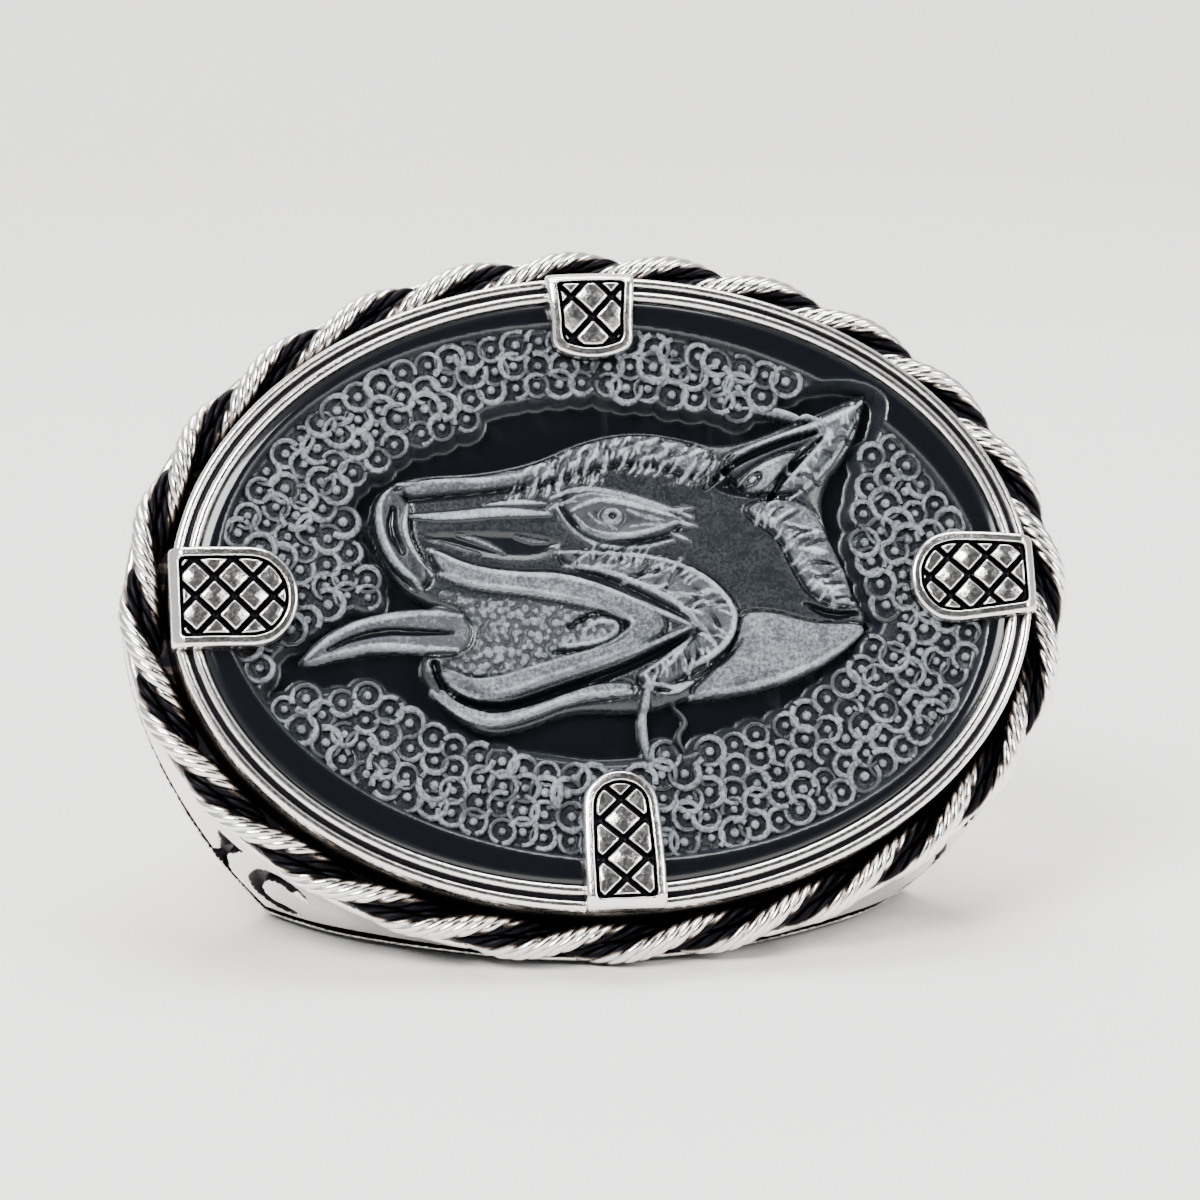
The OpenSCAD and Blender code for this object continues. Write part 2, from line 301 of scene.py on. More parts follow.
@dataclass(frozen=True)
class HeadSizes:
    """The ring's driving sizes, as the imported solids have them.

    Attributes:
        finger_r: Radius of the finger hole.
        band_t: Thickness of the band behind the finger.
        band_w: Its width there.
        flank_r: Radius of the hollow flanks.
        stone_a: Half the stone's length.
        stone_b: Half its width.
        stone_t: Its thickness at the rim.
        relief_h: Height of the wolf's brow over the moat.
        field_d: Depth of the ground between the small rings, under the rim.
        moat_d: Depth of the moat, under the rim.
        floor_t: Thickness of the floor under the stone.
        bezel_t: Thickness of the bezel.
        ledge_h: Height of the rope's ledge over the stone's seat.
        rope_d: Thickness of the rope.
        rope_lift: Height of its centre line over the ledge.
        rope_out: How far that line lies out from the bezel's side, along and across.
        wall_in: How far the wall under the rope stays inside the rope's edge.
        foot_out: How far the band's sides stand out from the wall.
        claw_t: Thickness of a claw.
        gap: Room round the stone.
    """

    finger_r: float = 9.1
    band_t: float = 1.9
    band_w: float = 5.2
    flank_r: float = 14.0
    stone_a: float = 15.0
    stone_b: float = 11.0
    stone_t: float = 3.5
    relief_h: float = 1.3
    field_d: float = 0.4
    moat_d: float = 1.1
    floor_t: float = 2.3
    bezel_t: float = 0.8
    ledge_h: float = 0.9
    rope_d: float = 1.7
    rope_lift: float = 0.35
    rope_out: Point = (0.1, -0.05)
    wall_in: float = 0.2
    foot_out: float = 0.15
    claw_t: float = 0.75
    gap: float = 0.05

    @property
    def band_r(self) -> float:
        """Outer radius of the band behind the finger."""
        return self.finger_r + self.band_t

    @property
    def seat_n(self) -> float:
        """Height of the stone's seat."""
        return self.finger_r + self.floor_t

    @property
    def bezel_n(self) -> float:
        """Height of the bezel's top."""
        return self.seat_n + self.stone_t + self.gap

    @property
    def ledge_n(self) -> float:
        """Height of the ledge that the rope lies on."""
        return self.seat_n + self.ledge_h

    @property
    def rope_n(self) -> float:
        """Height of the rope's centre line."""
        return self.ledge_n + self.rope_lift

    @property
    def claw_n(self) -> float:
        """Height of the claws' tops."""
        return self.bezel_n + self.claw_t

    @property
    def rim_n(self) -> float:
        """Height of the stone's polished rim."""
        return self.seat_n + self.stone_t

    @property
    def field_n(self) -> float:
        """Height of the ground between the small rings."""
        return self.rim_n - self.field_d

    @property
    def moat_n(self) -> float:
        """Height of the floor cut round the wolf's head."""
        return self.rim_n - self.moat_d

    @property
    def stone(self) -> Oval:
        """The stone's outline."""
        return Oval(self.stone_a, self.stone_b)

    @property
    def rope(self) -> Oval:
        """The rope's centre line."""
        side = self.bezel_t + self.rope_d / 2
        return Oval(self.stone_a + side + self.rope_out[0], self.stone_b + side + self.rope_out[1])

    @property
    def wall(self) -> Oval:
        """The outside of the wall under the rope."""
        side = self.rope_d / 2 - self.wall_in
        return Oval(self.rope.a + side, self.rope.b + side)

    @property
    def slope(self) -> float:
        """How fast the band widens from its back to the head, on each side."""
        half = self.wall.b + self.foot_out
        return (half - self.band_w / 2) / (self.ledge_n + self.band_r)


def softened(points: Sequence[Point], closed: bool = True, rounds: int = 2) -> Array:
    """Cuts a line's corners so that a few chosen points give a soft one.

    Args:
        points: The line's corners in order.
        closed: Whether the last point joins the first.
        rounds: How many times each corner is cut.

    Returns:
        The corners of the softer line, one a row.
    """
    p = np.array(points, float)
    for _ in range(rounds):
        ends = p[:1], p[-1:]
        p, q = (p, np.roll(p, -1, axis=0)) if closed else (p[:-1], p[1:])
        p = np.stack([0.75 * p + 0.25 * q, 0.25 * p + 0.75 * q], axis=1).reshape(-1, 2)
        if not closed:
            p = np.concatenate([ends[0], p, ends[1]])
    return p


def new_mesh(name: str, points: Array, faces: Array) -> Mesh:
    """Makes a smooth-shaded mesh from arrays.

    Args:
        name: The mesh's name.
        points: Vertices, one a row.
        faces: Vertex numbers, one face a row.

    Returns:
        The mesh.
    """
    mesh = bpy.data.meshes.new(name)
    count, corners = faces.shape
    mesh.vertices.add(len(points))
    mesh.vertices.foreach_set("co", points.astype(np.float32).ravel())
    mesh.loops.add(count * corners)
    mesh.loops.foreach_set("vertex_index", faces.astype(np.int32).ravel())
    mesh.polygons.add(count)
    mesh.polygons.foreach_set("loop_start", np.arange(count, dtype=np.int32) * corners)
    mesh.update(calc_edges=True)
    mesh.validate()
    mesh.polygons.foreach_set("use_smooth", np.ones(len(mesh.polygons), bool))
    return mesh


def mesh_points(mesh: Mesh) -> Array:
    """Reads a mesh's vertices.

    Args:
        mesh: The mesh.

    Returns:
        Its vertices, one a row.
    """
    points = np.zeros(len(mesh.vertices) * 3, np.float32)
    mesh.vertices.foreach_get("co", points)
    return points.reshape(-1, 3).astype(float)


def paint(mesh: Mesh, name: str, values: Array) -> None:
    """Keeps a number from 0 to 1 at each vertex, for the material to read by its name."""
    layer = mesh.attributes.new(name, "FLOAT", "POINT")
    layer.data.foreach_set("value", np.clip(values, 0.0, 1.0).astype(np.float32))


def link(name: str, data: bpy.types.ID) -> Piece:
    """Puts a mesh, a lamp or a camera into the scene as an object at the origin.

    Args:
        name: The object's name.
        data: What it holds.

    Returns:
        The object.
    """
    piece = bpy.data.objects.new(name, data)
    bpy.context.scene.collection.objects.link(piece)
    return piece


def bake_modifiers(piece: Piece) -> None:
    """Replaces the piece's mesh by what its modifiers make of it, and removes them.

    Args:
        piece: The piece.
    """
    graph = bpy.context.evaluated_depsgraph_get()
    made = bpy.data.meshes.new_from_object(piece.evaluated_get(graph), depsgraph=graph)
    old = piece.data
    piece.modifiers.clear()
    piece.data = made
    bpy.data.meshes.remove(old)


@dataclass(frozen=True)
class Mesher:
    """Meshes the solid where a distance rule is negative, with surface nets on a lattice.

    Attributes:
        low: Lowest corner of the lattice.
        high: Highest corner of the lattice.
        step: Spacing of the lattice.
        triangles: About how many triangles the finished mesh keeps.
        coarse: The rule is first worked out on every so many lattice points, and then on
            all of them near the surface. One works it out everywhere.
    """

    low: Point3
    high: Point3
    step: float
    triangles: int
    coarse: int = 1

    def sample(self, rule: Rule) -> Array:
        """Works the rule out at each lattice point.

        Args:
            rule: Distance to the solid's surface, negative inside.

        Returns:
            The rule's value at each lattice point.
        """
        k = self.coarse
        wide = self.step * k
        spans = [math.ceil((hi - lo) / wide) + 1 for lo, hi in zip(self.low, self.high)]
        axes = [lo + wide * np.arange(n) for lo, n in zip(self.low, spans)]
        values = np.broadcast_to(rule(*np.ix_(*axes)), spans).astype(np.float32)
        if k == 1:
            return values
        near = np.abs(values) < 1.9 * wide
        for axis in range(3):
            values = np.repeat(values, k, axis=axis)
            near = np.repeat(near, k, axis=axis)
        places = np.nonzero(near)
        values[places] = rule(*(lo + self.step * p for lo, p in zip(self.low, places)))
        return values

    def nets(self, values: Array) -> tuple[Array, Array]:
        """Joins the lattice cells that the surface crosses.

        Args:
            values: The rule's value at each lattice point.

        Returns:
            Vertices in lattice steps, and faces of four vertices that point outwards.
        """
        inside = values < 0
        corners = [np.array(c) for c in np.ndindex(2, 2, 2)]
        size = [n - 1 for n in values.shape]
        total = np.zeros(size, np.int8)
        for c in corners:
            total += inside[tuple(slice(o, o + n) for o, n in zip(c, size))]
        active = (total > 0) & (total < 8)
        cells = np.argwhere(active)
        number = np.full(size, -1, np.int32)
        number[active] = np.arange(len(cells))
        place = np.zeros((len(cells), 3))
        crossings = np.zeros(len(cells))
        faces = []
        for axis in range(3):
            unit, side_b, side_c = np.roll(np.eye(3, dtype=int), -axis, axis=0)
            for start in (c for c in corners if c[axis] == 0):
                first = values[tuple((cells + start).T)]
                second = values[tuple((cells + start + unit).T)]
                crossed = (first < 0) != (second < 0)
                share = first[crossed] / (first[crossed] - second[crossed])
                place[crossed] += cells[crossed] + start + share[:, None] * unit
                crossings[crossed] += 1
            lower = inside[tuple(slice(0, -1) if i == axis else slice(1, -1) for i in range(3))]
            upper = inside[tuple(slice(1, None) if i == axis else slice(1, -1) for i in range(3))]
            edges = np.argwhere(lower != upper)
            outward = lower[tuple(edges.T)]
            edges = edges + 1 - unit
            ring = [edges - side_b - side_c, edges - side_c, edges, edges - side_b]
            quads = np.stack([number[tuple(r.T)] for r in ring], axis=1)
            quads[~outward] = quads[~outward][:, ::-1]
            faces.append(quads)
        return place / crossings[:, None], np.concatenate(faces)

    def settle(self, points: Array, rule: Rule) -> Array:
        """Moves vertices that are near the rule's surface on to it.

        Args:
            points: The vertices.
            rule: Distance to the surface.

        Returns:
            The vertices on the surface.
        """
        reach = self.step / 4
        flattest = 0.2
        for _ in range(2):
            value = rule(*points.T)
            sides = reach * np.eye(3)
            rises = [rule(*(points + d).T) - rule(*(points - d).T) for d in sides]
            slope = np.stack([rise / (2 * reach) for rise in rises], 1)
            move = -(value / np.maximum((slope**2).sum(axis=1), flattest))[:, None] * slope
            points = points + np.clip(move, -self.step / 2, self.step / 2)
        return points

    def build(self, name: str, rule: Rule, settle: bool = True) -> Piece:
        """Meshes the rule's solid.

        Args:
            name: The piece's name.
            rule: Distance to the solid's surface, negative inside.
            settle: Whether the vertices are moved on to the surface.

        Returns:
            The piece, in millimetres.
        """
        points, faces = self.nets(self.sample(rule))
        points = np.array(self.low) + self.step * points
        if settle:
            points = self.settle(points, rule)
        piece = link(name, new_mesh(name, points, faces))
        if 2 * len(faces) > self.triangles:
            thin = piece.modifiers.new("thin", "DECIMATE")
            thin.ratio = self.triangles / (2 * len(faces))
            bake_modifiers(piece)
        return piece


def new_tree(name: str, sockets: dict[str, str]) -> tuple[Nodes, Any]:
    """Starts a Geometry Nodes tree.

    Args:
        name: The tree's name.
        sockets: The kind of each named input, without its NodeSocket prefix.

    Returns:
        The tree, and the outputs of its group input, where Material is the last.
    """
    tree = bpy.data.node_groups.new(name, "GeometryNodeTree")
    for key, kind in {"Geometry": "Geometry", **sockets, "Material": "Material"}.items():
        tree.interface.new_socket(key, in_out="INPUT", socket_type="NodeSocket" + kind)
    tree.interface.new_socket("Geometry", in_out="OUTPUT", socket_type="NodeSocketGeometry")
    return tree, add_node(tree, "NodeGroupInput").outputs


def end_tree(tree: Nodes, geometry: Socket, material: Socket) -> None:
    """Ends a tree: instances are made real, shaded smooth and given their material.

    Args:
        tree: The tree.
        geometry: What it has made.
        material: The material input.
    """
    real = add_node(tree, "GeometryNodeRealizeInstances", {"Geometry": geometry})
    smooth = add_node(tree, "GeometryNodeSetShadeSmooth", {"Geometry": real.outputs[0]})
    inputs = {"Geometry": smooth.outputs[0], "Material": material}
    done = add_node(tree, "GeometryNodeSetMaterial", inputs)
    add_node(tree, "NodeGroupOutput", {"Geometry": done.outputs[0]})


def oval_curve(tree: Nodes, out: Any, points: Any, lift: Any = 0.0) -> Socket:
    """Adds an oval curve as large as the tree's Half Length and Half Width inputs say.

    Args:
        tree: The tree.
        out: The outputs of its group input.
        points: How many points the curve has.
        lift: Its height.

    Returns:
        The curve.
    """
    size = add_node(tree, "ShaderNodeCombineXYZ", {0: out["Half Length"], 1: out["Half Width"], 2: 1.0})
    up = add_node(tree, "ShaderNodeCombineXYZ", {2: lift})
    unit = circle(tree, points, 1.0)
    inputs = {"Geometry": unit, "Translation": up.outputs[0], "Scale": size.outputs[0]}
    return add_node(tree, "GeometryNodeTransform", inputs).outputs[0]


def circle(tree: Nodes, points: Any, radius: Any) -> Socket:
    """Adds a circle of so many points."""
    inputs = {"Resolution": points, "Radius": radius}
    return add_node(tree, "GeometryNodeCurvePrimitiveCircle", inputs).outputs[0]


def curve_mesh(tree: Nodes, curve: Socket, profile: Socket, caps: bool = False) -> Socket:
    """Adds the sweep of a profile along a curve."""
    inputs = {"Curve": curve, "Profile Curve": profile, "Fill Caps": caps}
    return add_node(tree, "GeometryNodeCurveToMesh", inputs).outputs[0]


def random_value(tree: Nodes, kind: str, low: Any, high: Any, seed: Socket) -> Socket:
    """Adds a random value of one data type for each point or copy.

    Args:
        tree: The tree.
        kind: Its data type.
        low: Its lowest value.
        high: Its highest value.
        seed: The tree's seed.

    Returns:
        The value.
    """
    i = ("FLOAT_VECTOR", "FLOAT", "INT").index(kind)
    inputs = {2 * i: low, 2 * i + 1: high, "Seed": seed}
    return add_node(tree, "FunctionNodeRandomValue", inputs, data_type=kind).outputs[i]


def grow(piece: Piece, tree: Nodes, values: dict[str, Any]) -> None:
    """Runs a Geometry Nodes tree on a piece and keeps the plain mesh that it makes.

    Args:
        piece: The piece, whose mesh the tree starts from.
        tree: The tree.
        values: A value for each named input.
    """
    modifier = piece.modifiers.new(tree.name, "NODES")
    modifier.node_group = tree
    for item in tree.interface.items_tree:
        if item.in_out == "INPUT" and item.name in values:
            modifier[item.identifier] = values[item.name]
    bake_modifiers(piece)


@dataclass(frozen=True)
class Mottle:
    """Unevenness of a real size, made by noise.

    Attributes:
        size_mm: Size of its largest patches.
        detail: How many times finer noise is laid over it.
        roughness: How strong the finer noise is.
        span: How strong the noise is where the effect starts, and where it ends.
        effect: The effect there.
    """

    size_mm: float
    detail: float
    roughness: float
    span: Point = (0.0, 1.0)
    effect: Point = (0.0, 1.0)

    def noise(self, tree: Nodes) -> Socket:
        """Adds the noise over the piece.

        Args:
            tree: The node tree.

        Returns:
            The noise, about 0.5 on average.
        """
        inputs = {
            "Vector": add_node(tree, "ShaderNodeTexCoord").outputs["Object"],
            "Scale": 1 / (self.size_mm * MM),
            "Detail": self.detail,
            "Roughness": self.roughness,
        }
        return add_node(tree, "ShaderNodeTexNoise", inputs).outputs["Fac"]

    def spread(self, tree: Nodes, value: Socket) -> Socket:
        """Adds the effect of the noise."""
        return map_range(tree, value, self.span, self.effect)


@dataclass(frozen=True)
class AntiquedSilver:
    """Cast sterling silver, blackened all over and polished back on what stands proud.

    The crests are near-white mirrors with fine rubbing marks, and the hollows keep a
    neutral black sulphide skin that turns brown where it thins out.

    Attributes:
        silver: Colour of the polished metal.
        thin_skin: Colour of the skin where it is nearly rubbed through.
        skin: Colour of the full skin.
        skin_at: How black a place is, from 0 to 1, where each of the three colours stands.
        roughness: Roughness of the polish.
        skin_roughness: Roughness of the skin.
        contact_mm: How wide a hollow may be to keep its skin.
        hollow: How open a place is where the skin starts, and where it is full.
        wear: Patches where the skin is worn unevenly.
        gloss_at: How black a place is where its roughness starts to rise, and where it is full.
        rubbing: Rubbing marks, which change the roughness.
        dimples: The cast dimples.
        dimple_d: Their depth in millimetres.
        dimple_strength: How much of it shows.
    """

    silver: str = "#f6f3ee"
    thin_skin: str = "#6f6258"
    skin: str = "#17161a"
    skin_at: Point3 = (0.22, 0.46, 0.72)
    roughness: float = 0.17
    skin_roughness: float = 0.42
    contact_mm: float = 0.55
    hollow: Point = (0.62, 0.3)
    wear: Mottle = Mottle(0.9, 4.0, 0.6, (0.3, 0.7), (-0.16, 0.14))
    gloss_at: Point = (0.2, 0.7)
    rubbing: Mottle = Mottle(0.12, 3.0, 0.5, (0.35, 0.7), (-0.04, 0.08))
    dimples: Mottle = Mottle(0.5, 5.0, 0.65)
    dimple_d: float = 0.035
    dimple_strength: float = 0.6

    def material(self) -> Material:
        """Builds the material, which reads each piece's shade attribute.

        Returns:
            The material.
        """
        made, tree = new_material("antiqued_silver")
        inputs = {"Distance": self.contact_mm * MM}
        openness = add_node(tree, "ShaderNodeAmbientOcclusion", inputs, samples=8).outputs["AO"]
        depth = map_range(tree, openness, self.hollow, (0.0, 1.0), smooth=True)
        deepest = maths(tree, "MAXIMUM", attribute(tree, "shade"), depth)
        uneven = self.wear.spread(tree, self.wear.noise(tree))
        skin = maths(tree, "ADD", deepest, uneven, clamp=True)
        colours = (self.silver, self.thin_skin, self.skin)
        gloss = map_range(tree, skin, self.gloss_at, (self.roughness, self.skin_roughness))
        worn = self.rubbing.spread(tree, self.rubbing.noise(tree))
        dimples = self.dimples.noise(tree)
        inputs = {
            "Base Color": ramp(tree, skin, tuple(zip(self.skin_at, colours))),
            "Metallic": 1.0,
            "Roughness": maths(tree, "ADD", gloss, worn),
            "Normal": bumped(tree, dimples, self.dimple_d, self.dimple_strength),
        }
        end_material(tree, inputs)
        return made


@dataclass(frozen=True)
class EngravedAgate:
    """Dyed black agate, polished at the rim and frosted wherever the graver has worked.

    The more a place was worked, the paler and duller it is: the tone attribute runs from
    0 on the polish to 1 on the palest frost.

    Attributes:
        polish: Colour of the polish.
        cut: Colour of a lightly worked place.
        frost: Colour of the palest frost.
        cut_at: How worked a place is, from 0 to 1, where the second colour stands.
        polished_roughness: Roughness of the polish.
        frosted_roughness: Roughness of the frost.
        gloss_at: How worked a place is where its roughness starts to rise, and where it is full.
        grain: The grain, with its share in how worked a place looks.
        grain_d: Depth of the grain in millimetres.
        grain_strength: How much of it shows.
        rubbing: The rubbed patches, with their share.
        ior: The stone's refractive index.
    """

    polish: str = "#0b0d11"
    cut: str = "#272c32"
    frost: str = "#b7bec6"
    cut_at: float = 0.4
    polished_roughness: float = 0.11
    frosted_roughness: float = 0.5
    gloss_at: Point = (0.04, 0.3)
    grain: Mottle = Mottle(0.13, 4.0, 0.7, (0.3, 0.7), (0.6, 1.25))
    grain_d: float = 0.07
    grain_strength: float = 0.8
    rubbing: Mottle = Mottle(0.8, 3.0, 0.55, (0.3, 0.65), (0.78, 1.04))
    ior: float = 1.54

    def material(self) -> Material:
        """Builds the material, which reads each piece's tone attribute.

        Returns:
            The material.
        """
        made, tree = new_material("engraved_black_agate")
        grain = self.grain.noise(tree)
        rubbed = self.rubbing.spread(tree, self.rubbing.noise(tree))
        uneven = maths(tree, "MULTIPLY", self.grain.spread(tree, grain), rubbed)
        worked = maths(tree, "MULTIPLY", attribute(tree, "tone"), uneven, clamp=True)
        stops = ((0.0, self.polish), (self.cut_at, self.cut), (1.0, self.frost))
        roughness = (self.polished_roughness, self.frosted_roughness)
        relief = maths(tree, "MULTIPLY", grain, worked)
        inputs = {
            "Base Color": ramp(tree, worked, stops),
            "Roughness": map_range(tree, worked, self.gloss_at, roughness),
            "IOR": self.ior,
            "Normal": bumped(tree, relief, self.grain_d, self.grain_strength),
        }
        end_material(tree, inputs)
        return made


@dataclass(frozen=True)
class MattePaper:
    """The studio's seamless paper sweep, a warm near-white."""

    colour: str = "#f3f0ed"
    roughness: float = 0.85

    def material(self) -> Material:
        """Builds the material.

        Returns:
            The material.
        """
        made, tree = new_material("matte_paper")
        end_material(tree, {"Base Color": linear(self.colour), "Roughness": self.roughness})
        return made


@dataclass
class Workshop:
    """What every maker of pieces shares: the sizes, the frame and the finishes."""

    sizes: HeadSizes
    frame: HeadFrame
    silver: Material
    agate: Material

    def finish(self, piece: Piece, slot: Slot, in_mm: bool = True) -> Piece:
        """Puts a piece from the head's axes into the frame and gives it its finish.

        Args:
            piece: The piece, at the origin in head coordinates.
            slot: The record's material slot.
            in_mm: Whether the mesh is in millimetres and not in metres.

        Returns:
            The finished piece.
        """
        scale = MM if in_mm else 1.0
        piece.data.transform(self.frame.matrix @ Matrix.Scale(scale, 4))
        piece.data.update()
        silver = slot is Slot.SILVER
        piece.data.materials.clear()
        piece.data.materials.append(self.silver if silver else self.agate)
        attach(piece, "root")
        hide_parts("ring_body" if silver else "carved_stone")
        log.info("%s: %d faces", piece.name, len(piece.data.polygons))
        return piece


@dataclass
class CastBody:
    """The band, the hollow flanks and the tall wall under the rope, cast in one.

    Attributes:
        shop: What the makers share.
        scroll_t_deg: Where on the wall's oval a scroll's middle stands.
        scroll_half_w: Half the width of the scroll along the wall.
        scroll_half_h: Half its height.
        scroll_drop: How far its middle lies under the ledge.
        line_w: Width of an engraved line.
        cut: Depth of an engraved line.
        wedge_s: Where the two wedges stand, along the wall from the scroll.
        wedge_half_h: Half their height.
        edge_line: Distance of the fine line from the wall's lower edge.
        edge_half_w: Half the width of that line.
        mouth_s: Where along the wall the scroll opens, and where it is fully open.
        mouth_h: How far over and under its middle it is closed again, and fully open.
        wedge_w: Half the width of a wedge at its middle, and how fast it widens.
        cut_edge: Distances from a cut's edge over which its depth grows.
        flare: How far the shoulders flare out at the wall's foot.
        flare_drop: How far under the ledge the flare starts, and where it is full.
        wall_h: Height of the wall at the oval's ends.
        overlap: How far the flank's arc reaches into the band.
        fillet: Width over which the flank runs into the band.
        side_round: Width over which the band's long edges are rounded.
        wall_round: Width over which the wall's lower edge is rounded.
        bore_round: Width over which the finger hole's edges are rounded.
        ledge_round: Width over which the ledge's edge is rounded.
        mesh_step: Spacing of the lattice that the casting is meshed on.
        triangles: About how many triangles it keeps.
        flank: Middle of the flank's arc, worked out from the sizes.
    """

    shop: Workshop
    scroll_t_deg: float = 47.0
    scroll_half_w: float = 1.2
    scroll_half_h: float = 1.9
    scroll_drop: float = 2.9
    line_w: float = 0.5
    cut: float = 0.4
    wedge_s: float = -2.55
    wedge_half_h: float = 1.6
    edge_line: float = 0.55
    edge_half_w: float = 0.13
    mouth_s: Point = (0.1, 0.35)
    mouth_h: Point = (0.95, 0.7)
    wedge_w: Point = (0.12, 0.3)
    cut_edge: Point = (0.07, -0.09)
    flare: float = 0.35
    flare_drop: Point = (0.6, 4.5)
    wall_h: float = 2.0
    overlap: float = 0.15
    fillet: float = 0.4
    side_round: float = 0.5
    wall_round: float = 0.3
    bore_round: float = 0.55
    ledge_round: float = 0.15
    mesh_step: float = 0.125
    triangles: int = 185_000
    flank: Point = field(init=False)

    def __post_init__(self) -> None:
        """Works out the middle of the flank's arc, which touches the band and the wall's foot."""
        s = self.shop.sizes
        corner = Vector((s.wall.a, s.ledge_n - self.wall_h))
        reach = s.band_r + s.flank_r - self.overlap
        d = corner.length
        along = (reach**2 - s.flank_r**2 + d**2) / (2 * d)
        across = math.sqrt(reach**2 - along**2)
        middle = along * corner / d + across * Vector((corner.y, -corner.x)) / d
        self.flank = (middle.x, middle.y)

    def limits(self, u: Array, v: Array, n: Array) -> tuple[Array, Array]:
        """Measures the distance outside the flanks, and outside the slanting sides.

        Args:
            u: Places along the oval.
            v: Places towards the fingertip.
            n: Heights.

        Returns:
            The two distances at each place.
        """
        s = self.shop.sizes
        flank = s.flank_r - np.hypot(np.abs(u) - self.flank[0], n - self.flank[1])
        half = s.band_w / 2 + s.slope * (n + s.band_r)
        return flank, (np.abs(v) - half) / math.hypot(1.0, s.slope)

    def lower_edge(self, u: Array, v: Array, n: Array) -> Array:
        """Distance outside the flanks and sides together, which end the wall below."""
        flank, side = self.limits(u, v, n)
        return np.maximum(np.where(n > self.flank[1], flank, -1e3), side)

    def wall(self, u: Array, v: Array, n: Array) -> Array:
        """Measures the distance outside the wall, whose foot flares out, most on the shoulders.

        Args:
            u: Places along the oval.
            v: Places towards the fingertip.
            n: Heights.

        Returns:
            The distance at each place.
        """
        s = self.shop.sizes
        x, y = u / s.wall.a, v / s.wall.b
        shoulder = (2 * x * y / np.maximum(x * x + y * y, 1e-6)) ** 2
        start, full = (s.ledge_n - drop for drop in self.flare_drop)
        return s.wall.distance(u, v) - self.flare * shoulder * step_up(n, start, full)

    def engraving(self, u: Array, v: Array, n: Array) -> Array:
        """Works out how deeply the wall is engraved with scrolls, wedges and the edge line.

        Args:
            u: Places along the oval.
            v: Places towards the fingertip.
            n: Heights.

        Returns:
            The share of the full depth at each place, from 0 to 1.
        """
        s = self.shop.sizes
        middle = math.radians(self.scroll_t_deg)
        run = math.hypot(s.wall.a * math.sin(middle), s.wall.b * math.cos(middle))
        t = np.arctan2(np.abs(v) / s.wall.b, np.abs(u) / s.wall.a)
        along = (t - middle) * run
        up = n - (s.ledge_n - self.scroll_drop)
        round_up = up * (self.scroll_half_w / self.scroll_half_h)
        loop = np.abs(np.hypot(along, round_up) - self.scroll_half_w + self.line_w / 2)
        mouth = step_up(along, *self.mouth_s) * step_up(np.abs(up), *self.mouth_h)
        scroll = loop - self.line_w / 2 + mouth
        half_w = self.wedge_w[0] + self.wedge_w[1] * np.abs(up)
        aside = np.abs(along - self.wedge_s)
        wedge = np.maximum(aside - half_w, np.abs(up) - self.wedge_half_h)
        line = np.abs(-self.lower_edge(u, v, n) - self.edge_line) - self.edge_half_w
        return step_up(np.minimum(np.minimum(scroll, wedge), line), *self.cut_edge)

    def rule(self, u: Array, v: Array, n: Array) -> Array:
        """Measures the distance to the casting's surface.

        Args:
            u: Places along the oval.
            v: Places towards the fingertip.
            n: Heights.

        Returns:
            The distance at each place, negative inside.
        """
        s = self.shop.sizes
        radius = np.hypot(u, n)
        flank, side = self.limits(u, v, n)
        meet = self.flank[1] * s.band_r / (s.band_r + s.flank_r)
        outer = smooth_min(radius - s.band_r, np.maximum(flank, meet - n), self.fillet)
        solid = smooth_max(outer, side, self.side_round)
        wall = self.wall(u, v, n) + self.cut * self.engraving(u, v, n)
        solid = smooth_max(solid, wall, self.wall_round)
        solid = smooth_max(solid, s.finger_r - radius, self.bore_round)
        return smooth_max(solid, n - s.ledge_n, self.ledge_round)

    def shade(self, u: Array, v: Array, n: Array) -> Array:
        """Works out how black the casting is: in its engraving and on the rope's ledge.

        Args:
            u: Places along the oval.
            v: Places towards the fingertip.
            n: Heights.

        Returns:
            The blackness at each place, from 0 to 1.
        """
        s = self.shop.sizes
        wall = self.wall(u, v, n)
        ledge = step_up(n, s.ledge_n - 0.2, s.ledge_n - 0.05) * step_up(wall, -0.1, -0.4)
        lines = step_up(self.engraving(u, v, n), 0.0, 0.15) * step_up(wall, -1.0, -0.7)
        return np.maximum(ledge, lines)

    def build(self) -> Piece:
        """Meshes the casting.

        Returns:
            The piece.
        """
        s = self.shop.sizes
        room = 0.4
        low = (-s.wall.a - room, -s.wall.b - room, -s.band_r - room)
        high = (s.wall.a + room, s.wall.b + room, s.ledge_n + room)
        piece = Mesher(low, high, self.mesh_step, self.triangles, coarse=4).build("cast_band", self.rule)
        paint(piece.data, "shade", self.shade(*mesh_points(piece.data).T))
        return self.shop.finish(piece, Slot.SILVER)


